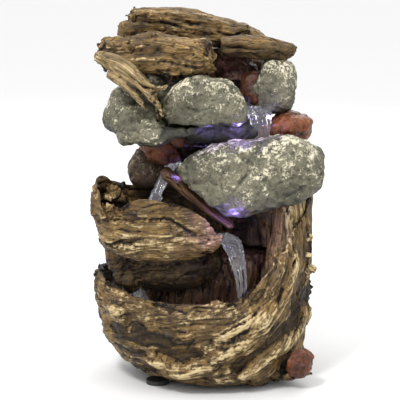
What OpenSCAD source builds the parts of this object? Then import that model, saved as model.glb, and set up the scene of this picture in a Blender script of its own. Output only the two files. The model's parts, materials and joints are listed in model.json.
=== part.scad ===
// Tabletop water fountain: four stepped pools of cast stones and driftwood, with the
// submersible pump in a hollow rear trunk. Front is -Y, up is +Z, millimetres.

/* [Base basin] */
// Width of the base basin over its outer wall
basin_w = 160; // [132:1:194]
// Depth of the base basin over its outer wall
basin_d = 137; // [114:1:166]
// Height of the basin's front rim above the table
basin_front_h = 67; // [58:1:80]
// Thickness of the basin's wall
basin_wall = 5; // [3:0.5:6]
// Thickness of the basin's floor
basin_floor = 6; // [4:0.5:8]

/* [Tiers] */
// Height of the log bowl's underside above the table
bowl_z = 93; // [88:1:110]
// Rise from the log bowl's underside to the stone dish's underside
bowl_to_stone = 45; // [42:1:54]
// Rise from the stone dish's underside to the upper dish's underside
stone_to_upper = 34; // [32:1:46]
// Rise from the upper dish's underside to the deck that carries the logs
upper_to_deck = 60; // [56:1:72]
// Wall thickness of the bowl and the two dishes
dish_wall = 4; // [3:0.5:5]
// Floor thickness of the bowl and the two dishes
dish_floor = 4; // [3:0.5:6]
// Gap left between two castings where they are bonded
seam = 0.3; // [0.2:0.05:0.5]

/* [Rear trunk] */
// Wall thickness of the hollow rear trunk
trunk_wall = 4; // [3:0.5:5]
// Width of the service hatch's opening
hatch_w = 40; // [32:1:46]
// Height of the service hatch's opening
hatch_h = 50; // [40:1:58]
// How far the hatch's flange laps past its opening
hatch_lap = 5; // [3:0.5:6]
// Running gap round the hatch's plug
hatch_gap = 0.4; // [0.3:0.1:0.8]

/* [Feet] */
// Radius of a rubber foot
foot_r = 8; // [6:0.5:10]
// Height of a rubber foot
foot_h = 3; // [2:0.5:4]

/* [Pump] */
// Width and height of the pump's body
pump_w = 30; // [28:1:36]
// Length of the pump's body along the rotor
pump_l = 32; // [30:1:38]
// Radius of the rotor's magnet
magnet_r = 7; // [5.5:0.1:7.4]
// Radius of the impeller's vanes
vane_r = 9.5; // [8:0.1:11]
// Radius of the fixed ceramic shaft
shaft_r = 1.1; // [0.9:0.05:1.5]
// Radius of the outlet nozzle
nozzle_r = 4.8; // [4:0.1:5.4]
// Wall of the riser tube
tube_wall = 1.5; // [1:0.1:2]

/* [Lights and cord] */
// Radius of a light's housing
led_r = 5.5; // [4.5:0.1:6]
// Height of a light's housing
led_h = 5; // [4:0.5:7]
// Radius of an inner lead
lead_r = 1.5; // [1:0.1:1.7]
// Radius of the hole in the cord gland
gland_bore_r = 2.6; // [2:0.1:3.2]

/* [Hidden] */
$fn = 48;

// The plan of every casting is drawn for this basin and stretched with the real one.
drawn_w = 160;
drawn_d = 137;
kx = basin_w / drawn_w;
ky = basin_d / drawn_d;
function place(p) = [p.x * kx, p.y * ky, p.z];

// Heights that everything else is stacked on.
basin_z = foot_h;
floor_z = basin_z + basin_floor;
stone_z = bowl_z + bowl_to_stone;
upper_z = stone_z + stone_to_upper;
deck_z = upper_z + upper_to_deck;
// Level at which the grey stones ring the upper dish.
ring_z = deck_z - 48;

// Planes that part one casting from the next, in plan.
trunk_front_y = 18 * ky;
trunk_back_y = 57 * ky;
chamber_front_y = -22 * ky;
dish_back_y = trunk_front_y - seam;
stone_front_y = -22 * ky;
upper_front_y = -24 * ky;
upper_side_x = 36 * kx;

// ---------------------------------------------------------------- shape tools

function unit(v) = v / norm(v);
function signed_pow(v, e) = sign(v) * pow(abs(v), e);

// A slow, repeatable wobble from about -1 to 1 that depends on place and seed.
function wobble(p, seed) =
    0.6 * sin(7.1 * p.x + 3.3 * p.z + 47 * seed) * sin(6.3 * p.y - 4.7 * p.z + 31 * seed)
    + 0.4 * sin(13.7 * p.x - 11.9 * p.y + 83 * seed) * sin(12.1 * p.z + 9.7 * p.y + 19 * seed);

// Value at angle a from a list of values evenly spaced round a full turn.
function around(list, a) =
    let (
        n = len(list),
        t = (a % 360 + 360) % 360 * n / 360,
        i = floor(t),
        w = (1 - cos(180 * (t - i))) / 2
    )
    list[i % n] * (1 - w) + list[(i + 1) % n] * w;

// Value at t, from 0 to 1, from a list evenly spaced along a path, as a smooth spline.
function along(list, t) =
    let (
        last = len(list) - 1,
        s = min(max(t, 0), 1) * last,
        i = min(floor(s), last - 1),
        f = s - i,
        p0 = list[max(i - 1, 0)],
        p1 = list[i],
        p2 = list[i + 1],
        p3 = list[min(i + 2, last)]
    )
    (2 * p1 + (p2 - p0) * f + (2 * p0 - 5 * p1 + 4 * p2 - p3) * f * f
        + (3 * p1 - p0 - 3 * p2 + p3) * f * f * f) / 2;

// A plane is [outward normal, distance]; the solid keeps the side with n * p <= distance.
function plane(n, through) = [unit(n), unit(n) * through];
function far_side(pl) = [-pl[0], -pl[1] - seam];

// How much of the ray from c along v stays inside all the planes.
function share_inside(c, v, planes) =
    min([1, for (pl = planes) let (out = pl[0] * v) if (out > 1e-6) (pl[1] - pl[0] * c) / out]);

// A point moved straight back onto each plane that it lies beyond.
function pressed(p, planes, i = 0) =
    i == len(planes) ? p
    : pressed(p - max(0, planes[i][0] * p - planes[i][1]) * planes[i][0], planes, i + 1);

function middle(ring) = [for (k = [0:2]) let (v = [for (p = ring) p[k]]) v * [for (p = ring) 1] / len(ring)];

// Closed skin over rings of equal length. The ends are closed by fans, or joined when looped.
module skin(rings, looped = false) {
    n = len(rings[0]);
    m = len(rings);
    ends = looped ? [] : [middle(rings[0]), middle(rings[m - 1])];
    points = [for (r = rings) each r, each ends];
    bands = looped ? m : m - 1;
    sides = [
        for (i = [0:bands - 1], j = [0:n - 1])
            let (
                up = (i + 1) % m * n,
                next = (j + 1) % n,
                a = i * n + j,
                b = up + j,
                c = up + next,
                d = i * n + next
            )
            each [[a, b, c], [a, c, d]]
    ];
    caps = looped ? [] : [
        for (j = [0:n - 1])
            let (next = (j + 1) % n)
            each [[m * n, j, next], [m * n + 1, (m - 1) * n + next, (m - 1) * n + j]]
    ];
    polyhedron(points = points, faces = concat(sides, caps));
}

// Share of a row left open at each pole of a stone, for the fan that closes it.
pole_gap = 0.35;

// A rounded stone: an ellipsoid, squared off a little, tilted, roughened and cut by planes.
module stone(centre, radii, tilt = 0, seed = 1, rough = 0.06, squareness = 0.85, planes = [],
             meridians = 22, parallels = 11) {
    c = place(centre);
    r = [radii.x * kx, radii.y * ky, radii.z];
    skin([
        for (i = [pole_gap:1:parallels])
            let (lat = -90 + 180 * i / parallels)
            [
                for (j = [0:meridians - 1])
                    let (
                        lon = 360 * j / meridians,
                        flat = signed_pow(cos(lat), squareness),
                        e = [
                            r.x * flat * signed_pow(cos(lon), squareness),
                            r.y * flat * signed_pow(sin(lon), squareness),
                            r.z * signed_pow(sin(lat), squareness)
                        ],
                        turned = [e.x * cos(tilt) - e.z * sin(tilt), e.y, e.x * sin(tilt) + e.z * cos(tilt)],
                        v = turned * (1 + rough * wobble(c + turned, seed))
                    )
                    c + v * share_inside(c, v, planes)
            ]
    ]);
}

// Rings of a log swept along a path, each radii entry being [across, up].
function log_rings(path, radii, seed, rough, rings, sides, planes) = [
    for (k = [0:rings - 1])
        let (
            t = k / (rings - 1),
            here = along(path, t),
            ahead = unit(along(path, t + 0.02) - along(path, t - 0.02)),
            across = unit(cross([0, 0, 1], ahead)),
            up = cross(ahead, across),
            r = along(radii, t),
            end = min(1, 0.55 + 6 * min(t, 1 - t))
        )
        [
            for (j = [0:sides - 1])
                let (
                    a = 360 * j / sides,
                    out = across * r.x * cos(a) + up * r.y * sin(a),
                    ribs = 0.35 * sin(5 * a + 90 * t + 40 * seed),
                    grow = end * (1 + rough * (wobble(here + out, seed) + ribs))
                )
                pressed(here + out * grow, planes)
        ]
];

module log(path, radii, seed = 1, rough = 0.1, rings = 15, sides = 18, planes = []) {
    skin(log_rings([for (p = path) place(p)], radii, seed, rough, rings, sides, planes));
}

// A bowl with its own wall. The plan is a squared ellipse times a spread for each angle, the
// rim a height for each angle, and the profile a list of [share of height, share of radius].
module vessel(centre, radii, spread, rim, bottom_z, wall, floor_t, profile, seed = 1, rough = 0.02,
              squareness = 1, y_limits = [-1000, 1000], taper = [1], sides = 48) {
    c = place(centre);
    inner_floor = bottom_z + floor_t;
    function edge(a, f, s, inset, base) =
        let (
            flare = around(spread, a) * (1 - (1 - s) * around(taper, a)),
            x = radii.x * kx * signed_pow(cos(a), squareness) * flare,
            y = radii.y * ky * signed_pow(sin(a), squareness) * flare,
            z = base + (around(rim, a) - base) * f,
            w = 1 + rough * wobble([x, y, z], seed) * (inset > 0 ? 0.5 : 1),
            r = norm([x, y]),
            k = (r * w - inset) / r
        )
        [c.x + x * k, min(max(c.y + y * k, y_limits[0] + inset), y_limits[1] - inset), z];
    function turn(f, s, inset, base) = [for (j = [0:sides - 1]) edge(360 * j / sides, f, s, inset, base)];
    last = profile[len(profile) - 1];
    outside = [for (p = profile) turn(p[0], p[1], 0, bottom_z)];
    crown = turn(1 + 0.012, last[1], wall / 2, bottom_z);
    inside = [for (k = [len(profile) - 1:-1:0]) turn(profile[k][0], profile[k][1], wall, inner_floor)];
    skin(concat(outside, [crown], inside));
}

// A cylinder along +Y from y0 to y1, at x and z.
module ycyl(r, y0, y1, x = 0, z = 0) {
    translate([x, y0, z]) rotate([-90, 0, 0]) cylinder(r = r, h = y1 - y0);
}

// A lead: an eight-sided tube along a path of points.
module lead(path, r = lead_r) {
    skin([
        for (k = [0:len(path) - 1])
            let (
                ahead = unit(path[min(k + 1, len(path) - 1)] - path[max(k - 1, 0)]),
                across = unit(cross(abs(ahead.z) > 0.9 ? [0, 1, 0] : [0, 0, 1], ahead)),
                up = cross(ahead, across)
            )
            [for (j = [0:7]) path[k] + r * (across * cos(45 * j) + up * sin(45 * j))]
    ]);
}
// A path of few points filled in as a smooth spline.
function smooth(path, steps) = [for (k = [0:steps]) along(path, k / steps)];

// ------------------------------------------------------------------- base basin

// Radius every 15 degrees from +X, turning to +Y, for the drawn basin.
basin_plan = [77, 78, 80, 81, 76, 71, 68.5, 71, 75, 79, 82, 82,
    82, 81, 79, 77, 73, 70, 68.5, 69.5, 72, 74, 76, 77];
// Height of the rim above the front rim at the same angles. The right side stands up as a stump.
basin_rise = [72, 75, 66, 36, 4, -6, -8, -8, -6, 1, 9, 14, 15, 13, 9, 4, 1, 0, 0, 2, 12, 32, 50, 63];
// How far the wall draws in towards the foot, every 45 degrees; the right side stands steeper.
basin_taper = [0.5, 0.7, 0.95, 1, 1, 1, 0.95, 0.65];
basin_profile = [[0, 0.77], [0.03, 0.81], [0.09, 0.85], [0.18, 0.89], [0.3, 0.93], [0.45, 0.97],
    [0.6, 0.99], [0.75, 1], [0.88, 1], [1, 0.985]];

module base_basin() {
    color("#8a6f45")
        vessel([0, 0], [1, 1], basin_plan, [for (h = basin_rise) basin_front_h + h], basin_z, basin_wall,
            basin_floor, basin_profile, seed = 3, rough = 0.018, taper = basin_taper, sides = 60);
}

// The pebble is bonded to the basin's flared side, on this slope. A shallower basin curves
// more tightly behind the flat seat, so the seat then stands further out.
pebble_z = basin_z + 16;
pebble_out = [0.85, -0.53, 0];
pebble_r = 11;
seat_reach = 70.2 + 6 * max(0, 1 - ky);
pebble_seat = plane([-pebble_out.x / kx, -pebble_out.y / ky, 0.2],
    place(pebble_out * seat_reach) + [0, 0, pebble_z]);
module base_pebble() {
    color("#7a3d28")
        stone(pebble_out * (seat_reach + 4.3) + [0, 0, pebble_z], [pebble_r, pebble_r, pebble_r], seed = 8,
            rough = 0.05, planes = [pebble_seat], meridians = 16, parallels = 9);
}

foot_x = 35 * kx;
foot_y = 27 * ky;
module rubber_feet() {
    color("#1d1d1d")
        for (x = [-foot_x, foot_x], y = [-foot_y, foot_y])
            translate([x, y, 0]) cylinder(r = foot_r, h = foot_h);
}

// ------------------------------------------------------------------- rear trunk

shoulder_z = bowl_z - seam;
trunk_bottom_z = floor_z;
// Each entry is [height, middle x, half width, front y, back y] of the outer face.
trunk_levels = [
    [trunk_bottom_z, 0, 41 * kx, chamber_front_y + 5 * ky, 44 * ky],
    [floor_z + 12, 1 * kx, 46 * kx, chamber_front_y + 1 * ky, 53 * ky],
    [floor_z + 28, 2 * kx, 49 * kx, chamber_front_y, trunk_back_y],
    [floor_z + 50, 3 * kx, 48 * kx, chamber_front_y, trunk_back_y],
    [shoulder_z - 8, 4 * kx, 47 * kx, chamber_front_y + 1 * ky, trunk_back_y],
    [shoulder_z - 2, 5 * kx, 45 * kx, chamber_front_y + 6 * ky, trunk_back_y],
    [shoulder_z, 5 * kx, 43 * kx, trunk_front_y, trunk_back_y],
    [shoulder_z + 22, 7 * kx, 41 * kx, trunk_front_y, trunk_back_y],
    [stone_z, 8 * kx, 40 * kx, trunk_front_y, trunk_back_y],
    [stone_z + 23, 8 * kx, 39 * kx, trunk_front_y, trunk_back_y],
    [ring_z, 8 * kx, 38 * kx, trunk_front_y, trunk_back_y - 1 * ky],
    [ring_z + 24, 8 * kx, 38 * kx, trunk_front_y, trunk_back_y - 2 * ky],
    [deck_z, 8 * kx, 36 * kx, trunk_front_y, trunk_back_y - 4 * ky]
];

function trunk_ring(level, inset, z, seed) =
    let (
        yc = (level[3] + level[4]) / 2,
        half_y = (level[4] - level[3]) / 2,
        swell = 4
    )
    [
        for (j = [0:43])
            let (
                a = 360 * j / 44,
                x = (level[2] - inset) * signed_pow(cos(a), 0.72),
                y = (half_y + swell - inset) * signed_pow(sin(a), 0.72),
                w = 1 + (inset > 0 ? 0 : 0.022) * wobble([2 * x, 2 * y, z], seed)
            )
            [level[1] + x * w, min(max(yc + y * w, level[3] + inset), level[4] - inset), z]
    ];

hatch_x = 4 * kx;
hatch_low_z = floor_z + 66;
hatch_mid_z = hatch_low_z + hatch_h / 2;
gland_x = hatch_x;
gland_z = stone_z + 6;
gland_body_r = 6;
elbow_x = -14 * kx;
elbow_hole_r = nozzle_r + 1;
window_r = 7;
window_x = [-26 * kx, 2 * kx, 30 * kx];
lead_hole_r = lead_r + 0.7;
lead_lift = lead_r + 0.4;

module trunk_shell() {
    ceiling = len(trunk_levels) - 1;
    inner = [for (k = [ceiling:-1:0])
        let (
            level = trunk_levels[k],
            z = k == 0 ? level[0] : level[0] - trunk_wall
        )
        trunk_ring(level, trunk_wall, z, 5)];
    outer = [for (level = trunk_levels) trunk_ring(level, 0, level[0], 5)];
    color("#6b5636")
        difference() {
            skin(concat(inner, outer));
            translate([hatch_x - hatch_w / 2, trunk_back_y - 3 * trunk_wall, hatch_low_z])
                cube([hatch_w, 4 * trunk_wall, hatch_h]);
            for (x = window_x)
                ycyl(window_r, chamber_front_y - 10, chamber_front_y + 14, x, floor_z + window_r + 3);
            ycyl(gland_body_r, trunk_back_y - 3 * trunk_wall, trunk_back_y + trunk_wall, gland_x, gland_z);
            ycyl(elbow_hole_r, trunk_front_y - 5, trunk_front_y + 2 * trunk_wall, elbow_x, elbow_z);
            for (l = led_spots)
                ycyl(lead_hole_r, trunk_front_y - 5, trunk_front_y + 2 * trunk_wall, l[0], l[2] + lead_lift);
        }
}

// ------------------------------------------------------------------ service hatch

hatch_plate = 3;
gasket_t = 1;
module pump_hatch() {
    y0 = trunk_back_y + gasket_t;
    plug_w = hatch_w - 2 * hatch_gap;
    plug_h = hatch_h - 2 * hatch_gap;
    color("#6b5636") {
        translate([hatch_x - hatch_w / 2 - hatch_lap, y0, hatch_low_z - hatch_lap])
            cube([hatch_w + 2 * hatch_lap, hatch_plate, hatch_h + 2 * hatch_lap]);
        translate([hatch_x - plug_w / 2, trunk_back_y - trunk_wall, hatch_low_z + hatch_gap])
            cube([plug_w, trunk_wall + gasket_t + 0.5, plug_h]);
        translate([hatch_x - 10, y0 + hatch_plate - 0.5, hatch_mid_z + 8])
            cube([20, 4.5, 5]);
    }
}

module hatch_gasket() {
    color("#202020")
        translate([hatch_x, trunk_back_y, hatch_mid_z])
            difference() {
                translate([-hatch_w / 2 - hatch_lap + 1, 0, -hatch_h / 2 - hatch_lap + 1])
                    cube([hatch_w + 2 * hatch_lap - 2, gasket_t, hatch_h + 2 * hatch_lap - 2]);
                translate([-hatch_w / 2 - 0.5, -1, -hatch_h / 2 - 0.5])
                    cube([hatch_w + 1, gasket_t + 2, hatch_h + 1]);
            }
}

module cord_gland() {
    flange = 2;
    color("#181818")
        difference() {
            union() {
                ycyl(gland_body_r - 0.05, trunk_back_y - trunk_wall - 1, trunk_back_y + flange,
                    gland_x, gland_z);
                ycyl(gland_body_r + 2.5, trunk_back_y, trunk_back_y + flange, gland_x, gland_z);
            }
            ycyl(gland_bore_r, trunk_back_y - 20, trunk_back_y + 20, gland_x, gland_z);
        }
}

// --------------------------------------------------------------------- log bowl

bowl_centre = [-34, -24];
bowl_spread = [1, 0.98, 1, 1, 1, 1, 1, 1, 1, 1, 1, 1, 1, 1.01, 1.02, 1.01, 1, 1, 1, 1, 1, 1.04, 1.1, 1.06];
// Rim height above the bowl's underside, every 15 degrees from +X.
bowl_rim = [19, 23, 29, 35, 39, 41, 43, 43, 43, 46, 51, 54, 53, 48, 39, 30, 36, 39, 38, 36, 32, 25, 17, 16];
bowl_profile = [[0, 0.62], [0.04, 0.7], [0.14, 0.79], [0.3, 0.88], [0.5, 0.95], [0.75, 0.99], [1, 1]];

module bowl_skin() {
    vessel(bowl_centre, [45.5, 42], bowl_spread, [for (h = bowl_rim) bowl_z + h], bowl_z, dish_wall,
        dish_floor, bowl_profile, seed = 6, rough = 0.03, squareness = 0.92,
        y_limits = [-1000, dish_back_y], sides = 48);
}

module log_bowl() {
    l = led_spots[2];
    color("#8a6a35")
        difference() {
            bowl_skin();
            ycyl(lead_hole_r, l[1] + led_r + 3, trunk_front_y + 5, l[0], l[2] + lead_lift);
        }
}

// The slab leans along this line; the big stone sits on its upper face.
slab_path = [[-31, -36, stone_z + 17], [-6, -36, stone_z - 4], [19, -37, stone_z - 24]];
slab_half_t = 4;
slab_normal = unit([0.64 / kx, 0, 0.77]);
slab_top = [slab_normal, slab_normal * place(slab_path[1]) + slab_half_t];
stone_front = plane([0, 1, 0], [0, stone_front_y - seam, 0]);
big_stone_top = plane([0, 0, 1], [0, 0, ring_z - 6]);

module leaning_slab() {
    color("#4c3a28")
        log(slab_path, [[12, 5.5], [13.5, 5], [9, 3.5]], seed = 9, rough = 0.1, rings = 13, sides = 18,
            planes = [slab_top, stone_front]);
}

// ------------------------------------------------------------------- stone dish

flare_top = plane([0, 0, 1], [0, 0, stone_z - seam]);
module root_flare() {
    color("#6b5636")
        log([[42, 0, bowl_z + seam], [43, -1, (bowl_z + stone_z) / 2], [42, -3, stone_z + 1]],
            [[17 * ky, 21 * kx], [15.5 * ky, 18 * kx], [18 * ky, 23 * kx]], seed = 4, rough = 0.05,
            rings = 12, sides = 26,
            planes = [flare_top, plane([0, 0, -1], [0, 0, bowl_z]),
                plane([0, 1, 0], [0, dish_back_y, 0]), plane([-1, 0, 0], [20 * kx, 0, 0]),
                plane([0, -1, 0], [0, stone_front_y + seam, 0])]);
}

dish_profile = [[0, 0.7], [0.12, 0.82], [0.35, 0.93], [0.65, 0.99], [1, 1]];
// Rim height above the dish's underside, every 15 degrees from +X; the spout is front left.
stone_rim = [28, 28, 27, 26, 25, 24, 23, 22, 22, 20, 15.5, 15,
    14, 14, 14, 16, 20, 22, 24, 25, 26, 27, 28, 28];
stone_spread = [1, 1, 1, 1, 1, 1, 1, 1, 1, 1, 1, 1, 1, 1.02, 1.04, 1.02, 1, 1, 1, 1, 1, 1, 1, 1];
module stone_dish() {
    l = led_spots[1];
    color("#4d4a3a")
        difference() {
            vessel([17.5, -2.5], [44.5, 23], stone_spread, [for (h = stone_rim) stone_z + h], stone_z,
                dish_wall, dish_floor, dish_profile, seed = 7, rough = 0.02, squareness = 0.7,
                y_limits = [stone_front_y, dish_back_y], sides = 40);
            ycyl(lead_hole_r, l[1] + led_r + 3, trunk_front_y + 5, l[0], l[2] + lead_lift);
        }
}

module big_stone() {
    color("#75745c")
        stone([28.5, -42, stone_z + 13], [53, 20, 26], tilt = 8, seed = 2, rough = 0.05, squareness = 0.8,
            planes = [far_side(slab_top), stone_front, plane([-1, 0, 0], [-26 * kx, 0, 0]), big_stone_top],
            meridians = 32, parallels = 15);
}

bowl_back_rim_z = bowl_z + max([for (k = [6:8]) bowl_rim[k]]);
side_stone_top = plane([0.5, 0, 0.87], [-40 * kx, 0, stone_z + 19]);
module side_stone() {
    color("#5a5240")
        stone([-42, 2, bowl_back_rim_z + 13], [13, 14, 15], seed = 5, rough = 0.06,
            planes = [plane([0, 0, -1], [0, 0, bowl_back_rim_z + 2]), plane([1, 0, 0], [-28.5 * kx, 0, 0]),
                side_stone_top, at_trunk],
            meridians = 18, parallels = 9);
}

// ------------------------------------------------------- stones under the upper dish

stone_left_rim_z = stone_z + stone_rim[10] + 0.5;
stone_right_rim_z = stone_z + stone_rim[0] + 0.6;
at_trunk = plane([0, 1, 0], [0, dish_back_y, 0]);
boulder_seat = plane([0, 0, 1], [0, 0, ring_z - 6.5]);
// Follows the upper dish's flare on its left.
under_upper = plane([0.73, 0, 0.68], [-26 * kx, 0, upper_z - 0.7]);
// Slopes up to the right, clear of the upper dish's side.
rust_right_top = plane([-1.6, 0, 1], [upper_side_x + 1.2, 0, upper_z - seam]);
grey_right_seat = plane([0, 0, 1], [0, 0, ring_z + 7]);

module rust_stone_left() {
    color("#6a3524")
        stone([-33, -3, stone_left_rim_z + 9], [17, 20, 15 * max(1, kx)], tilt = -5, seed = 11, rough = 0.08,
            planes = [boulder_seat, plane([0, 0, -1], [0, 0, stone_left_rim_z]), far_side(side_stone_top),
                plane([1, 0, 0], [-19 * kx, 0, 0]), under_upper, at_trunk],
            meridians = 24, parallels = 11);
}

module rust_stone_right() {
    color("#7c3a22")
        stone([53, -6, stone_right_rim_z + 12], [20, 16, 15], tilt = 8, seed = 12, rough = 0.07,
            planes = [grey_right_seat, plane([0, 0, -1], [0, 0, stone_right_rim_z]), rust_right_top,
                at_trunk],
            meridians = 24, parallels = 11);
}

// ------------------------------------------------------------------- upper dish

// Rim height above the dish's underside, every 15 degrees from +X; the spout is front right.
upper_rim = [28, 36, 38, 39, 39, 39, 39, 39, 39, 39, 38, 38, 38, 38, 38, 38, 38, 38, 37, 35, 29, 24, 24, 25];
// The outlet reaches over the rim.
elbow_z = upper_z + max(upper_rim) + nozzle_r + 1.2;
module upper_dish() {
    l = led_spots[0];
    color("#4b4d40")
        difference() {
            vessel([0, -3.2], [35.6, 22], [1], [for (h = upper_rim) upper_z + h], upper_z, dish_wall,
                dish_floor, dish_profile, seed = 13, rough = 0.012, squareness = 0.62,
                y_limits = [upper_front_y, dish_back_y], sides = 40);
            ycyl(lead_hole_r, l[1] + led_r + 3, trunk_front_y + 5, l[0], l[2] + lead_lift);
        }
}

upper_front = plane([0, 1, 0], [0, upper_front_y - seam, 0]);
log_front_seat = plane([0, 0, 1], [0, 0, deck_z - 14]);

module grey_boulder_left() {
    color("#5f6250")
        stone([-53, -7, ring_z + 9], [21, 22, 19], tilt = 8, seed = 14, rough = 0.06,
            planes = [far_side(boulder_seat), plane([1, 0, 0], [-upper_side_x - 1.2, 0, 0]), at_trunk,
                plane([0, -1, 0], [0, -29 * ky, 0])],
            meridians = 24, parallels = 12);
}

ledge_top = plane([0, 0, 1], [0, 0, ring_z + 1]);
ledge_foot = plane([0.2, 0, -0.98], [-27 * kx, 0, ring_z - 7]);
module grey_ledge() {
    color("#6a6b58")
        stone([-28, -38, ring_z - 3], [35, 16, 14], tilt = 2, seed = 19, rough = 0.06,
            planes = [ledge_top, ledge_foot, plane([0, 1, 0], [0, -29 * ky - seam, 0])],
            meridians = 26, parallels = 11);
}

module grey_stone_front() {
    color("#7d7b62")
        stone([-1, -39, ring_z + 15], [29, 16, 23], tilt = 3, seed = 15, rough = 0.06,
            planes = [upper_front, log_front_seat, plane([-1, 0, 0], [-30 * kx, 0, 0]), far_side(ledge_top)],
            meridians = 24, parallels = 12);
}

grey_right_top = plane([0, 0, 1], [0, 0, deck_z - 5.5]);
module grey_stone_right() {
    color("#6f6f58")
        stone([48, -7, ring_z + 26], [14.5, 19, 22], tilt = -6, seed = 16, rough = 0.06,
            planes = [far_side(grey_right_seat), plane([-1, 0, 0], [upper_side_x + 1.2, 0, 0]),
                grey_right_top, at_trunk],
            meridians = 22, parallels = 12);
}

module rust_pebble() {
    color("#74402a")
        stone([30, -13.5, ring_z + 25], [9, 9, 10.5], seed = 17, rough = 0.06,
            planes = [plane([1, 0, 0], [upper_side_x + 0.9, 0, 0]),
                plane([0, 0, -1], [0, 0, upper_z + max([for (k = [0, 22, 23]) upper_rim[k]]) + 1.5]),
                plane([0, 1, 0], [0, -5.6 * ky, 0])], meridians = 14, parallels = 8);
}

module dark_red_stone() {
    color("#3c1c16")
        stone([21, 6, ring_z + 34], [16, 13, 11], seed = 18, rough = 0.07,
            planes = [at_trunk, grey_right_top, plane([1, 0, 0], [upper_side_x - 0.6, 0, 0]),
                plane([0, -1, 0], [0, -5 * ky, 0]),
                plane([0, 0, -1], [0, 0, upper_z + max(upper_rim) + 0.7])],
            meridians = 20, parallels = 10);
}

// ------------------------------------------------------------------------- logs

// The back log lies on the trunk's top; the other two lie in front of it, behind the root.
log_back_front = plane([0, 1, 0], [0, 2.5 * ky, 0]);
root_back = plane([0, 1, 0], [0, -37.5 * ky, 0]);
root_side = plane([1, 0, 0], [-30.4 * kx, 0, 0]);

module log_back() {
    color("#8b7248")
        log([[-57, 17, deck_z + 21], [-30, 19, deck_z + 18], [2, 22, deck_z + 13.5], [26, 24, deck_z + 9],
                [42, 24, deck_z + 5]],
            [[17 * ky, 9], [23 * ky, 12.5], [24 * ky, 12], [18 * ky, 9.5], [8 * ky, 4]],
            seed = 20, rough = 0.1, rings = 18, sides = 22,
            planes = [plane([0, 0, -1], [0, 0, deck_z + seam]), far_side(log_back_front)]);
}

module log_front() {
    color("#8a7145")
        log([[-75, -17, deck_z + 0.5], [-50, -19, deck_z - 1], [-20, -21, deck_z - 2], [5, -21, deck_z - 2]],
            [[15 * ky, 11.5], [20 * ky, 15.5], [22 * ky, 16], [15 * ky, 12.5]],
            seed = 21, rough = 0.1, rings = 18, sides = 22,
            planes = [far_side(log_front_seat), log_back_front, far_side(root_back),
                plane([1, 0, 0], [8 * kx, 0, 0])]);
}

module log_right() {
    color("#7a6339")
        log([[6, -9, deck_z + 3.5], [26, -9, deck_z + 3.5], [46, -9, deck_z + 2.5], [63, -10, deck_z + 2]],
            [[9 * ky, 8], [12 * ky, 9], [12 * ky, 8.5], [7 * ky, 5]],
            seed = 22, rough = 0.1, rings = 15, sides = 20,
            planes = [far_side(grey_right_top), log_back_front, plane([-1, 0, 0], [8.4 * kx, 0, 0])]);
}

module twisted_root() {
    color("#a08a5c")
        log([[-76, -39, deck_z + 2], [-65, -40, deck_z - 3], [-53, -41, deck_z - 10], [-42, -42, deck_z - 20],
                [-35, -44, deck_z - 31], [-33, -46, deck_z - 42]],
            [[4.5, 4.5], [6.5, 7], [6, 6.5], [5.5, 5.5], [4, 4], [2.2, 2.2]], seed = 23, rough = 0.12,
            rings = 18, sides = 14, planes = [root_back, root_side]);
}

// ------------------------------------------------------------------------- pump

pump_x = -14 * kx;
pump_front_y = 38 * ky;
cup_h = 5;
pump_z = floor_z + cup_h;
axis_z = pump_z + pump_w / 2;
volute_r = vane_r + 1.5;
volute_l = 8;
cover_t = 4;
well_r = magnet_r + 0.6;
well_end_y = pump_front_y - pump_l + 4;
nozzle_y = pump_front_y - nozzle_r - 0.4;
nozzle_h = 14;
nozzle_bore_r = nozzle_r - 1.5;
bush_r = 3.4;
bush_l = 3;
intake_ring_r = 6.6;
intake_hole_r = 1.7;
dial_boss_r = 3;
dial_t = 3.2;
dial_r = 11;

module rounded_block(size, r) {
    translate([-size.x / 2 + r, 0, 0]) cube([size.x - 2 * r, size.y, size.z]);
    translate([-size.x / 2, 0, r]) cube([size.x, size.y, size.z - 2 * r]);
    for (x = [-1, 1], z = [r, size.z - r])
        translate([x * (size.x / 2 - r), 0, z]) rotate([-90, 0, 0]) cylinder(r = r, h = size.y);
}

module pump_body() {
    color("#22252a")
        difference() {
            union() {
                translate([pump_x, pump_front_y - pump_l, pump_z]) rounded_block([pump_w, pump_l, pump_w], 4);
                translate([pump_x, nozzle_y, pump_z + pump_w - 1]) cylinder(r = nozzle_r, h = nozzle_h + 1);
            }
            ycyl(volute_r, pump_front_y - volute_l, pump_front_y + 1, pump_x, axis_z);
            ycyl(well_r, well_end_y, pump_front_y, pump_x, axis_z);
            ycyl(bush_r + 0.05, well_end_y - bush_l, pump_front_y, pump_x, axis_z);
            translate([pump_x, nozzle_y, axis_z + 5]) cylinder(r = nozzle_bore_r, h = pump_w + nozzle_h);
        }
}

module intake_holes(y0, y1) {
    for (a = [0:60:300])
        ycyl(intake_hole_r, y0, y1, pump_x + intake_ring_r * cos(a), axis_z + intake_ring_r * sin(a));
}

dial_y = pump_front_y + cover_t + 0.3;
module pump_cover() {
    boss_end = dial_y + dial_t + 0.3;
    color("#2b2f36")
        difference() {
            union() {
                translate([pump_x, pump_front_y, pump_z]) rounded_block([pump_w, cover_t, pump_w], 4);
                ycyl(dial_boss_r, pump_front_y, boss_end, pump_x, axis_z);
                ycyl(dial_boss_r + 0.8, boss_end, boss_end + 1, pump_x, axis_z);
            }
            intake_holes(pump_front_y - 1, pump_front_y + cover_t + 1);
            ycyl(bush_r + 0.05, pump_front_y - 1, pump_front_y + bush_l, pump_x, axis_z);
        }
}

module flow_dial() {
    color("#3f6f9a")
        difference() {
            union() {
                ycyl(dial_r, dial_y, dial_y + dial_t, pump_x, axis_z);
                translate([pump_x - 2, dial_y, axis_z + dial_r - 1]) cube([4, dial_t, 5]);
            }
            ycyl(dial_boss_r + 0.08, dial_y - 1, dial_y + dial_t + 1, pump_x, axis_z);
            intake_holes(dial_y - 1, dial_y + dial_t + 1);
        }
}

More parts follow.
